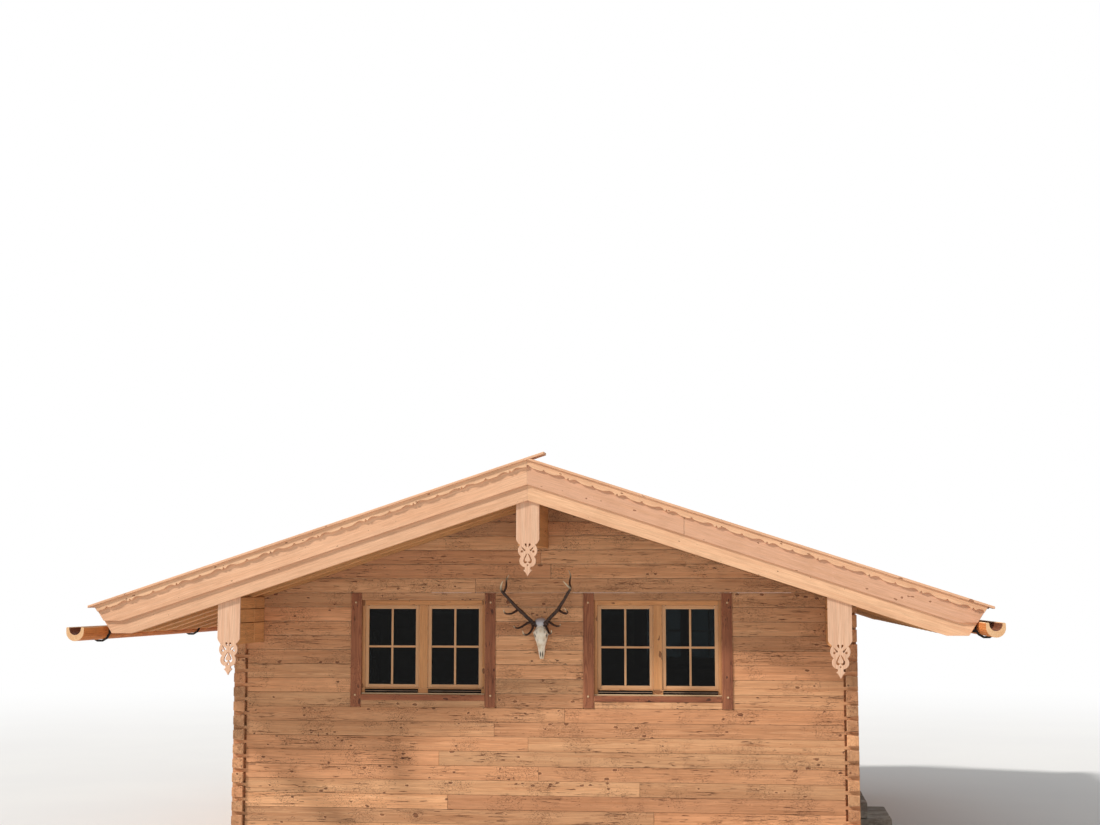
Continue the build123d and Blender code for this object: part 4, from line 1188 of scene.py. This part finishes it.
windows = {
    "seed": 71,
    "half": 0.805, "height": 1.240, "depth": 0.125, "proud": 0.010,
    "post": 0.120, "lintel": 0.080, "sill": 0.137, "sillBoard": 0.062, "setBack": 0.004,
    "frameHalf": 0.685, "frameFoot": 0.137, "frameHeight": 1.023, "frameBack": 0.030, "frameDepth": 0.070,
    "jamb": 0.033, "head": 0.055, "foot": 0.068, "mullion": 0.097,
    "sashBack": 0.012, "sashDepth": 0.045, "sashMember": 0.040,
    "bar": 0.022, "barDepth": 0.014, "barShift": 0.0145, "paneThick": 0.006, "paneRebate": 0.003,
    "pegRadius": 0.012, "pegLength": 0.020, "pegHeights": (1.135, 0.130),
    "railHeight": 0.040, "railProud": 0.016, "railInset": 0.008, "railDrop": 0.010,
}


def windowPlaces():
    # local x to the right as seen from outside, y inward, z up
    w = SimpleNamespace(**wallLogs)
    places = [at(side * w.windowCenter, end * h.halfLength, w.windowFoot) @ turn(90 + 90 * end, "Z")
              for end in (-1, 1) for side in (-1, 1)]
    return places + [at(side * h.halfWidth, y * w.sideWindowY, w.sideWindowFoot) @ turn(90 * side, "Z")
                     for side in (-1, 1) for y in (-1, 1)]


def barAt(store, place, rng, along, centre, size, bevel, finish=0, segments=1):
    # a straight bar in a window's or door's own axes, its length and grain along x or z
    run = still if along == "x" else turn(-90, "Y")
    putBoard(store, boxBm(size, bevel, segments), rng, place @ at(*centre) @ run, None, finish)


def buildWindows():
    w = SimpleNamespace(**windows)
    rng = random.Random(w.seed)
    linings, frames, sashes, panes, rails, pegs = (newStore() for _ in range(6))
    depth, midY = w.depth + w.proud, (w.depth - w.proud) / 2
    inner = 2 * (w.half - w.post) - 0.001
    under = w.sill - w.sillBoard
    frameY = w.frameBack + w.frameDepth / 2
    frameTop = w.frameFoot + w.frameHeight
    clear = 2 * (w.frameHalf - w.jamb)
    member, sashFoot = w.sashMember, w.frameFoot + w.foot
    sashWidth, sashHeight = (clear - w.mullion) / 2, w.frameHeight - w.head - w.foot
    sashY = w.frameBack + w.sashBack + w.sashDepth / 2
    barLength = (sashWidth - 2 * member - w.bar) / 2
    railHalf, proud = w.railHeight / 2, w.railProud
    railWidth = sashWidth - 2 * w.railInset
    railProfile = [(0.0, -railHalf), (-proud * 0.55, -railHalf), (-proud * 0.65, -railHalf + 0.010),
                   (-proud, -railHalf + 0.012), (-proud, railHalf - 0.006), (-proud * 0.5, railHalf), (0.0, railHalf)]
    for place in windowPlaces():
        def bar(store, *details):
            barAt(store, place, rng, *details)

        # linings and their pegs; the boards above and below the frame are of log wood
        for side in (-1, 1):
            x = side * (w.half - w.post / 2)
            bar(linings, "z", (x, midY, w.height / 2), (w.height - 0.001, depth, w.post - 0.001), 0.007, 0, 2)
            for z in w.pegHeights:
                peg = bmesh.new()
                bmesh.ops.create_cone(peg, cap_ends=True, segments=14, radius1=w.pegRadius,
                                      radius2=w.pegRadius * 0.8, depth=w.pegLength)
                put(pegs, peg, place @ at(x + side * 0.005, -w.proud - 0.001, z) @ turn(90, "X"), turn(90, "X"),
                    0.7, 0, grainShift(rng))
        bar(linings, "x", (0, midY + w.setBack, w.height - w.lintel / 2),
            (inner, depth - 2 * w.setBack, w.lintel - 0.001), 0.003, 1)
        bar(linings, "x", (0, midY, w.sill - w.sillBoard / 2), (inner, depth, w.sillBoard - 0.001), 0.004)
        bar(linings, "x", (0, midY + w.setBack, under / 2), (inner, depth - 2 * w.setBack, under - 0.001), 0.003, 1)
        # fixed frame, with a drip edge under its head and a pale strip on its foot
        for side in (-1, 1):
            bar(frames, "z", (side * (w.frameHalf - w.jamb / 2), frameY, w.frameFoot + w.frameHeight / 2),
                (w.frameHeight - 0.001, w.frameDepth, w.jamb - 0.0005), 0.002)
        bar(frames, "z", (0, frameY, w.frameFoot + (w.foot + w.frameHeight - w.head) / 2),
            (w.frameHeight - w.head - w.foot, w.frameDepth, w.mullion), 0.005, 0, 2)
        bar(frames, "x", (0, frameY, frameTop - w.head / 2), (clear, w.frameDepth, w.head), 0.003)
        bar(frames, "x", (0, frameY - 0.0045, frameTop - 0.012), (clear, w.frameDepth + 0.009, 0.020), 0.002)
        bar(frames, "x", (0, frameY, w.frameFoot + w.foot / 2), (clear, w.frameDepth, w.foot), 0.003)
        bar(frames, "x", (0, w.frameBack - 0.008, w.frameFoot + 0.008), (2 * w.frameHalf - 0.002, 0.018, 0.015),
            0.003, 1)
        # sashes with their bars, panes and weather rails
        for side in (-1, 1):
            x, z = side * (w.mullion + sashWidth) / 2, sashFoot + sashHeight / 2
            for part in (-1, 1):
                bar(sashes, "z", (x + part * (sashWidth - member) / 2, sashY, z),
                    (sashHeight - 0.002, w.sashDepth, member - 0.001), 0.004, 0, 2)
                bar(sashes, "x", (x, sashY, z + part * (sashHeight - member) / 2),
                    (sashWidth - 2 * member, w.sashDepth, member - 0.001), 0.004, 0, 2)
            for front in (-1, 1):
                barY = sashY + front * w.barShift
                bar(sashes, "z", (x, barY, z), (sashHeight - 2 * member, w.barDepth, w.bar), 0.004)
                for part in (-1, 1):
                    bar(sashes, "x", (x + part * (barLength + w.bar) / 2, barY, z),
                        (barLength, w.barDepth, w.bar), 0.004)
            pane = (sashWidth - 2 * (member - w.paneRebate), w.paneThick, sashHeight - 2 * (member - w.paneRebate))
            put(panes, boxBm(pane, 0.0005), place @ at(x, sashY, z))
            railZ = sashFoot - w.railDrop - railHalf
            railEnds = (-railWidth / 2, railWidth / 2)
            rail = loft([[(end, w.frameBack + b, c) for b, c in railProfile] for end in railEnds])
            bevelEdges(rail, 0.0012, 1, 30)
            put(rails, rail, place @ at(x, 0, railZ), None, 0.4)
            bar(rails, "x", (x, w.frameBack - w.railProud - 0.0006, railZ), (railWidth - 0.004, 0.0030, 0.0056),
                0.0010, 1)
    makePiece("windowLinings", linings, [wood["darkLining"], wood["wallLog"]], ["window_linings"])
    makePiece("windowPegs", pegs, [wood["pegWood"]])
    makePiece("windowFrames", frames, [wood["pineFrame"], wood["pegWood"]], ["window_frames"])
    makePiece("windowSashes", sashes, [wood["sashPine"]], ["window_sashes"])
    makePiece("windowPanes", panes, [windowGlass], ["window_panes"])
    makePiece("weatherRails", rails, [darkRail, railLip], ["weather_rails"])


buildWindows()
print("windows built")

# door

door = {
    "seed": 81,
    "half": 0.44, "foot": 0.61, "head": 2.5275, "back": 0.030, "thick": 0.055, "planks": 6, "gap": 0.002,
    "recess": 0.008, "post": 0.120, "holeFoot": 0.5925, "holeHead": 2.6075,
    "strap": [(-0.43, -0.022), (0.16, -0.018), (0.20, -0.034), (0.25, 0.0), (0.20, 0.034), (0.16, 0.018),
              (-0.43, 0.022)],
    "strapInset": 0.28, "nails": (-0.36, -0.16, 0.04, 0.2), "nailRadius": 0.009,
    "plate": [(0.33, 1.42), (0.385, 1.42), (0.395, 1.45), (0.395, 1.64), (0.385, 1.67), (0.33, 1.67),
              (0.32, 1.64), (0.32, 1.45)],
    "handle": [(0.357, -0.001, 1.58), (0.357, -0.034, 1.58), (0.345, -0.044, 1.58), (0.30, -0.046, 1.578),
               (0.25, -0.044, 1.575)],
    "handleRadii": [0.009, 0.009, 0.010, 0.009, 0.007],
}


def tube(store, points, radii, place, sides=12, tones=None, finish=0, ribs=0.0, seed=0.0):
    # tapering round bar along a smooth line, with optional furrows
    tones = tones or [0.5] * len(points)
    line = smoothLine([tuple(p) + (r, t) for p, r, t in zip(points, radii, tones)], 5)
    centres = [Vector(station[:3]) for station in line]
    angles = [2 * math.pi * n / sides for n in range(sides)]
    rings, across = [], None
    for k, station in enumerate(line):
        run = (centres[min(k + 1, len(centres) - 1)] - centres[max(k - 1, 0)]).normalized()
        if across is None:
            across = run.orthogonal().normalized()
        across = (across - run * across.dot(run)).normalized()
        other = run.cross(across)
        rings.append([])
        for n, angle in enumerate(angles):
            radius = station[3] * (1 + ribs * noise.noise(Vector((n * 1.7 + seed, k * 0.35, seed))))
            rings[-1].append(centres[k] + radius * (math.cos(angle) * across + math.sin(angle) * other))
    start = len(store["points"])
    put(store, loft(rings), place, None, 0.5, finish)
    length = 0.0
    for k, station in enumerate(line):
        if k:
            length += (centres[k] - centres[k - 1]).length
        for n, angle in enumerate(angles):
            index = start + k * sides + n
            store["tone"][index] = station[4]
            store["grain"][index] = Vector((length + seed, math.cos(angle) * 0.03, math.sin(angle) * 0.03))


def buildDoor():
    d = SimpleNamespace(**door)
    rng = random.Random(d.seed)
    place = at(h.halfWidth, 0, 0) @ turn(90, "Z")
    lining, leaf, iron = newStore(), newStore(), newStore()
    depth = windows["depth"] + windows["proud"]
    midY = (windows["depth"] - windows["proud"]) / 2
    for side in (-1, 1):
        barAt(lining, place, rng, "z", (side * (d.half + d.post / 2), midY, (d.holeFoot + d.holeHead) / 2),
              (d.holeHead - d.holeFoot - 0.001, depth, d.post - 0.001), 0.007, 0, 2)
    for low, high, bevel in ((d.head, d.holeHead, 0.004), (d.holeFoot, d.foot, 0.003)):
        barAt(lining, place, rng, "x", (0, midY, (low + high) / 2),
              (2 * d.half - 0.001, depth, high - low - 0.001), bevel)
    width, thick = 2 * d.half / d.planks, d.thick - d.recess
    for n in range(d.planks):
        middle = (-d.half + (n + 0.5) * width, d.back + d.recess + thick / 2, (d.foot + d.head) / 2)
        barAt(leaf, place, rng, "z", middle, (d.head - d.foot - 0.006, thick, width - d.gap), 0.004)
    nailOrder = Vector((1.0, 3.7, 13.3))   # a sphere's faces come in another order in each run
    for z in (d.foot + d.strapInset, d.head - d.strapInset):
        put(iron, prismBm(d.strap, 0.0, 0.005, 0.001), place @ at(0, d.back + 0.003, z))
        for x in d.nails:
            nail = bmesh.new()
            bmesh.ops.create_uvsphere(nail, u_segments=10, v_segments=6, radius=d.nailRadius)
            nail.transform(Matrix.Diagonal((1, 0.5, 1, 1)))
            nail.verts.sort(key=lambda v: v.co.dot(nailOrder))
            nail.faces.sort(key=lambda f: f.calc_center_median().dot(nailOrder))
            put(iron, nail, place @ at(x, d.back + 0.003, z))
    plateAt = place @ at(0, d.back + 0.004, 0)
    put(iron, prismBm(d.plate, 0.0, 0.004, 0.001), plateAt)
    tube(iron, d.handle, d.handleRadii, plateAt)
    makePiece("doorFrame", lining, [wood["darkLining"]], ["door_frame"])
    makePiece("doorPlanks", leaf, [wood["doorPlank"]], ["door_leaf"])
    makePiece("doorIron", iron, [forgedIron])


# plinth, steps and floor

stonework = {
    "seed": 91,
    "inset": 0.012, "thick": 0.330, "stoneDepth": 0.16, "mortarInset": 0.018, "courseHeights": (0.205, 0.155),
    "joint": 0.014, "shortest": 0.28, "longest": 0.62, "rough": 0.005,
    "noiseSeed": 7, "stepSeed": 97, "stepShares": (0.36, 0.30, 0.34), "stepRough": 0.004,
    "floorSeed": 99, "floorBoards": 46,
}


noise.seed_set(stonework["noiseSeed"])   # without it, noise_vector differs from run to run


def stoneBm(size, rough, seed):
    # roughly dressed block: divided, its corners drawn in, and weathered
    bm = boxBm(size, 0.0)
    bmesh.ops.subdivide_edges(bm, edges=bm.edges, cuts=3, use_grid_fill=True)
    half = Vector(size) / 2
    for vertex in bm.verts:
        co = vertex.co
        near = [1 - min(1.0, (limit - abs(c)) / 0.02) if limit > 0.02 else 0 for c, limit in zip(co, half)]
        pull = 0.006 * max(0, sum(1 for value in near if value > 0.5) - 1)
        offset = noise.noise_vector(co * 9 + Vector((seed, seed * 0.7, 0))) * rough
        inset = Vector([math.copysign(rough, c) if n > 0.5 else 0 for c, n in zip(co, near)])
        vertex.co = co - co.normalized() * pull + offset - inset
    return bm


def buildPlinth():
    s = SimpleNamespace(**stonework)
    rng = random.Random(s.seed)
    store = newStore()
    outerX, outerY = h.halfWidth - s.inset, h.halfLength - s.inset
    core = s.thick - s.mortarInset
    middleX, middleY = outerX - s.mortarInset - core / 2, outerY - s.mortarInset - core / 2
    across, along = (2 * (outerX - s.mortarInset), core), (core, 2 * (outerY - s.thick))
    for size, x, y in ((across, 0, middleY), (along, middleX, 0)):
        for sign in (-1, 1):
            bm = boxBm((*size, h.plinthHeight - 0.001), 0.003)
            put(store, bm, at(sign * x, sign * y, h.plinthHeight / 2), None, 0.5, 1)
    foot = 0.0
    for course, height in enumerate(s.courseHeights):
        for quarter in range(4):
            length, outer = (2 * outerX, outerY) if quarter % 2 == 0 else (2 * outerY, outerX)
            overlap = 0.0 if (quarter + course) % 2 == 0 else s.stoneDepth
            x, stop = -length / 2 + overlap, length / 2 - overlap
            while x < stop - 0.01:
                width = rng.uniform(s.shortest, s.longest)
                if stop - x - width < s.shortest * 0.8:
                    width = stop - x
                bm = stoneBm((width - s.joint, s.stoneDepth, height - s.joint), s.rough, rng.uniform(0, 90))
                centre = (x + width / 2, -outer + s.stoneDepth / 2, foot + height / 2)
                putBoard(store, bm, rng, turn(90 * quarter, "Z") @ at(*centre))
                x += width
        foot += height
    makePiece("plinthStones", store, [plinthStone, mortar], ["plinth_sides", "plinth_ends"])


def buildSteps():
    s = SimpleNamespace(**stonework)
    rng = random.Random(s.stepSeed)
    store = newStore()
    low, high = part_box("door_steps")
    depth, rise = (high.x - low.x) / 2, high.z / 2
    for width, foot in ((2 * depth, 0.0), (depth, rise)):
        y = low.y
        for share in s.stepShares:
            length = share * (high.y - low.y)
            bm = stoneBm((width - 0.002, length - 0.006, rise - 0.002), s.stepRough, rng.uniform(0, 90))
            putBoard(store, bm, rng, at(low.x + width / 2, y + length / 2, foot + rise / 2))
            y += length
    makePiece("doorSteps", store, [plinthStone], ["door_steps"])


def buildFloor():
    s = SimpleNamespace(**stonework)
    rng = random.Random(s.floorSeed)
    store = newStore()
    low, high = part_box("floor_boards")
    width = (high.x - low.x) / s.floorBoards
    for n in range(s.floorBoards):
        bm = boxBm((high.y - low.y, width - 0.001, high.z - low.z), 0.0015)
        putBoard(store, bm, rng, at(low.x + (n + 0.5) * width, 0, (low.z + high.z) / 2) @ turn(90, "Z"))
    makePiece("floorPlanks", store, [wood["floorBoard"]], ["floor_boards"])


buildDoor()
buildPlinth()
buildSteps()
buildFloor()
print("door, plinth and floor built")

# stag trophy

trophy = {
    "x": 0.032, "foot": 2.283, "gap": 0.004, "turn": 3.0, "lean": -1.6, "sides": 48,
    # height above the muzzle's tip, width, depth
    "sections": [(0.000, 0.034, 0.030), (0.012, 0.048, 0.046), (0.033, 0.056, 0.058), (0.060, 0.064, 0.066),
                 (0.093, 0.073, 0.075), (0.130, 0.084, 0.086), (0.168, 0.104, 0.095), (0.205, 0.126, 0.106),
                 (0.243, 0.152, 0.115), (0.268, 0.168, 0.121), (0.288, 0.170, 0.122), (0.312, 0.146, 0.120),
                 (0.340, 0.116, 0.112), (0.358, 0.106, 0.106), (0.380, 0.120, 0.116), (0.402, 0.128, 0.116),
                 (0.422, 0.112, 0.098), (0.437, 0.076, 0.070), (0.444, 0.034, 0.034)],
    # out to the right, forward, height and radius along each antler in mm; the first line is its beam
    "antlers": [[
        [(-48, 78, 356, 19), (-78, 85, 380, 21), (-105, 100, 408, 20), (-149, 130, 452, 19), (-192, 170, 497, 18.5),
         (-230, 215, 536, 19), (-262, 255, 576, 17.5), (-293, 300, 616, 17), (-331, 345, 664, 16),
         (-365, 385, 704, 16), (-382, 400, 723, 14)],
        [(-371, 390, 709, 13), (-387, 430, 744, 12.5), (-381, 470, 787, 10), (-368, 490, 817, 7),
         (-356, 500, 836, 2.5)],
        [(-370, 390, 711, 13), (-349, 370, 748, 12), (-343, 340, 799, 10.5), (-347, 310, 844, 8), (-337, 290, 878, 5.5),
         (-323, 280, 904, 2)],
        [(-233, 215, 533, 14), (-261, 260, 509, 13), (-291, 310, 492, 11), (-323, 370, 488, 9.5), (-343, 420, 497, 8.5),
         (-351, 455, 516, 6.5), (-354, 470, 536, 2)],
        [(-95, 95, 394, 15), (-132, 130, 389, 13.5), (-168, 170, 370, 12.5), (-200, 210, 347, 11.5),
         (-231, 255, 335, 10), (-256, 295, 343, 8), (-266, 320, 361, 2.5)],
        [(-84, 90, 373, 16), (-87, 130, 336, 14), (-99, 170, 302, 12.5), (-121, 210, 273, 11), (-147, 250, 266, 9.5),
         (-164, 285, 279, 8), (-170, 310, 310, 2.5)],
    ], [
        [(24, 78, 356, 19), (46, 85, 380, 21), (74, 100, 414, 20), (115, 130, 456, 19), (161, 165, 497, 18.5),
         (200, 205, 536, 19), (236, 250, 586, 17), (271, 290, 633, 16), (299, 330, 677, 15.5), (327, 365, 718, 15),
         (347, 385, 743, 13)],
        [(343, 380, 736, 12.5), (354, 410, 759, 12), (331, 450, 785, 10), (308, 485, 812, 7.5), (287, 510, 836, 2.5)],
        [(338, 380, 731, 13), (351, 360, 765, 12), (338, 330, 810, 10.5), (338, 300, 854, 9), (343, 275, 892, 7.5),
         (332, 260, 927, 5), (317, 250, 952, 2)],
        [(200, 205, 533, 14), (239, 250, 511, 13), (275, 300, 497, 12), (307, 350, 494, 11), (322, 400, 511, 9),
         (309, 435, 533, 7), (295, 455, 552, 2.5)],
        [(63, 95, 404, 15), (101, 125, 394, 13.5), (136, 160, 374, 12.5), (172, 200, 360, 11), (204, 240, 357, 9.5),
         (225, 275, 366, 7.5), (234, 300, 382, 2.5)],
        [(49, 90, 370, 15), (67, 130, 332, 13.5), (88, 170, 298, 12), (108, 210, 276, 10.5), (127, 245, 279, 9),
         (136, 275, 296, 7), (136, 300, 317, 2.5)],
    ]],
    "tipPower": (6.0, 0.5, 1.1, 2.6, 4.0, 2.6),
    "tipPale": (0.5, 1.0, 0.95, 1.0, 0.9, 1.0),
    "ribs": 0.20,
    "burr": (0.020, 0.033, 0.022), "burrTones": (0.1, 0.2, 0.1), "burrRibs": 0.35,
}


def bellAt(value, middle, width):
    return math.exp(-((value - middle) / width) ** 2)


def skullPoint(across, forward, height, width, depth):
    # a point of the skull's skin, and the painted shade of its hollow or the dark line of its seam; forward is 1 at the
    # face's middle
    front = max(forward, 0.0)
    x = width / 2 * across * (1 - 0.32 * front ** 2 * abs(across) * bellAt(height, 0.12, 0.10))
    y = -depth / 2 * (1 + forward)
    z = height + 0.016 * bellAt(height, 0.0, 0.014) * bellAt(across, 0.0, 0.30) * (forward > 0)
    # eye sockets under a raised rim
    socket = bellAt(height, 0.258, 0.021) * bellAt(abs(across), 0.90, 0.17) * bellAt(forward, 0.30, 0.36)
    rim = bellAt(height, 0.268, 0.038) * bellAt(abs(across), 0.90, 0.26) * bellAt(forward, 0.25, 0.55) - socket
    x *= 1 - 0.32 * socket + 0.07 * max(rim, 0)
    y += 0.034 * socket
    # nose openings, pits of the brow and below the eyes
    slit = bellAt(height, 0.052, 0.025) * bellAt(abs(across), 0.40, 0.17) * (forward > 0)
    pit = bellAt(height, 0.290, 0.014) * bellAt(abs(x), 0.041, 0.006) * (forward > 0)
    cheek = bellAt(height, 0.203, 0.016) * bellAt(abs(x), 0.034, 0.007) * (forward > 0)
    y += 0.024 * slit + 0.004 * (pit + cheek)
    # hollow temples, a ridge down the nose, a seam below the crown
    x *= 1 - 0.12 * bellAt(height, 0.330, 0.022) * bellAt(abs(across), 0.95, 0.25)
    y -= 0.0016 * bellAt(abs(x), 0.010, 0.004) * bellAt(height, 0.14, 0.09) * front
    seam = bellAt(height, 0.352 - 0.6 * abs(x), 0.004) * front
    y += 0.0015 * seam
    # the dark share is painted shade in sockets, nose openings and pits, with the seam's own dark line
    return (x, min(y, -0.0002), z), min(1.0, 0.95 * socket + 1.7 * slit + 0.55 * pit + 0.4 * cheek + 0.3 * seam)


def buildTrophy():
    t = SimpleNamespace(**trophy)
    hook = at(t.x, -h.halfLength - t.gap, t.foot)
    store = newStore()
    rings, hollowShadeAndSeam = [], []
    for height, width, depth in smoothLine(t.sections, 5):
        rings.append([])
        for n in range(t.sides):
            angle = 2 * math.pi * n / t.sides
            point, shade = skullPoint(math.sin(angle), math.cos(angle), height, width, depth)
            rings[-1].append(point)
            hollowShadeAndSeam.append(shade)
    put(store, loft(rings), hook @ turn(t.turn, "Z") @ turn(t.lean, "Y"))
    # the skull's tone is the painted shade of its hollows, with the seam's dark line
    store["tone"][:] = hollowShadeAndSeam
    for seed, antler in enumerate(t.antlers):
        for index, stations in enumerate(antler):
            points = [Vector((out, -forward, height)) / 1000 for out, forward, height, _ in stations]
            radii = [radius / 1000 for *_, radius in stations]
            last = len(stations) - 1
            tones = [t.tipPale[index] * (k / last) ** t.tipPower[index] for k in range(last + 1)]
            tube(store, points, radii, hook, 14, tones, 1, t.ribs, 3.1 * index + seed)
            if index == 0:
                burr = [points[1].lerp(points[2], share) for share in (-0.2, 0.15, 0.5)]
                tube(store, burr, t.burr, hook, 18, t.burrTones, 1, t.burrRibs, 9.0 + seed)
    makePiece("stagTrophy", store, [dryBone, antlerBeam], ["stag_trophy"], smooth=True)


buildTrophy()
print("trophy hung")

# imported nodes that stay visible

packedFinishes = {
    "floor_joists": woodMaterial("joistWood", woodFinishes["floorBoard"], (0, 0, 0)),
    "eaves_boards": woodMaterial("eavesBoard", {**woodFinishes["newBoard"], "late": (190, 132, 88)}, acrossGrain),
    "gutter_hooks": forgedIron,
}
woodFibre = woodMaterial("woodFibre", {**woodFinishes["soffitBoard"], "knots": 0.0, "cracks": 0.0}, acrossGrain)
packedFinishes.update({"insulation_left": woodFibre, "insulation_right": woodFibre})
for nodeName, material in packedFinishes.items():
    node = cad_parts[nodeName]
    if not node.data.materials:
        node.data.materials.append(None)
    for materialSlot in node.material_slots:
        materialSlot.link = "OBJECT"
        materialSlot.material = material

# stage, light and camera

studio = {
    "floorSize": 900.0, "floorColor": (0.80, 0.80, 0.79, 1), "floorShade": (0.78, 0.78, 0.775, 1),
    "floorFade": (8.0, 34.0),
    "skyLevel": 0.46, "keyLevel": 3.2, "keyFrom": (-2.7, -1.5, 2.3), "keySoftness": 5.0,
    "keyColor": (1.0, 0.97, 0.93),
    "camera": (2.298, -22.0, 3.00), "yaw": 6.905, "pitch": 6.195, "lens": 54.23, "sensorWidth": 36.0,
}
white = (1, 1, 1, 1)


def addToScene(name, data):
    made = bpy.data.objects.new(name, data)
    scene.collection.objects.link(made)
    return made


def buildFloorPlane():
    s = SimpleNamespace(**studio)
    bpy.ops.mesh.primitive_plane_add(size=s.floorSize, location=(0, 0, -0.001))
    floor = bpy.context.object
    floor.name = "studioFloor"
    material, tree = newMaterial("studioFloor")
    place = tree.objectPlace()
    pale = tree.mix(tree.ramp(tree.noise(place, 0.35, 2.0), 0.3, 0.7), s.floorColor, s.floorShade)
    tree.feed(tree.shader, {"Base Color": pale, "Roughness": 0.9})
    # far off, the floor turns as white as the background for the camera
    away = tree.ramp(tree.add("VectorMath", {0: place}, operation="LENGTH")["Value"], *s.floorFade)
    blank = tree.times(away, tree.add("LightPath")["Is Camera Ray"])
    glow = tree.add("Emission", {"Color": white})[0]
    blend = tree.add("MixShader", {0: blank, 1: tree.shader.outputs[0], 2: glow})[0]
    tree.feed(material.node_tree.nodes["Material Output"], {"Surface": blend})
    floor.data.materials.append(material)


def buildLight():
    # the sky lights softly, and is white where it is seen, mirrored or looked at through glass
    s = SimpleNamespace(**studio)
    scene.world = bpy.data.worlds.new("studioWorld")
    scene.world.use_nodes = True
    scene.world.node_tree.nodes.clear()
    tree = ShaderTree(scene.world.node_tree)
    light = tree.add("Background", {"Color": white, "Strength": s.skyLevel})[0]
    plain = tree.add("Background", {"Color": white, "Strength": 1.0})[0]
    path = tree.add("LightPath")
    seen = tree.math("MAXIMUM", path["Is Camera Ray"], path["Is Transmission Ray"])
    seen = tree.math("MAXIMUM", seen, path["Is Glossy Ray"])
    tree.add("OutputWorld", {"Surface": tree.add("MixShader", {0: seen, 1: light, 2: plain})[0]})
    sun = bpy.data.lights.new("keyLight", "SUN")
    sun.energy, sun.color, sun.angle = s.keyLevel, s.keyColor, math.radians(s.keySoftness)
    addToScene("keyLight", sun).rotation_euler = Vector(s.keyFrom).to_track_quat("Z", "Y").to_euler()


def buildCamera():
    s = SimpleNamespace(**studio)
    lens = bpy.data.cameras.new("photoCamera")
    lens.lens, lens.sensor_width = s.lens, s.sensorWidth
    camera = addToScene("photoCamera", lens)
    camera.location = s.camera
    camera.rotation_euler = (math.radians(90 + s.pitch), 0, math.radians(s.yaw))
    scene.camera = camera
    scene.view_settings.view_transform = "Standard"


buildFloorPlane()
buildLight()
buildCamera()
print("stage and camera set")
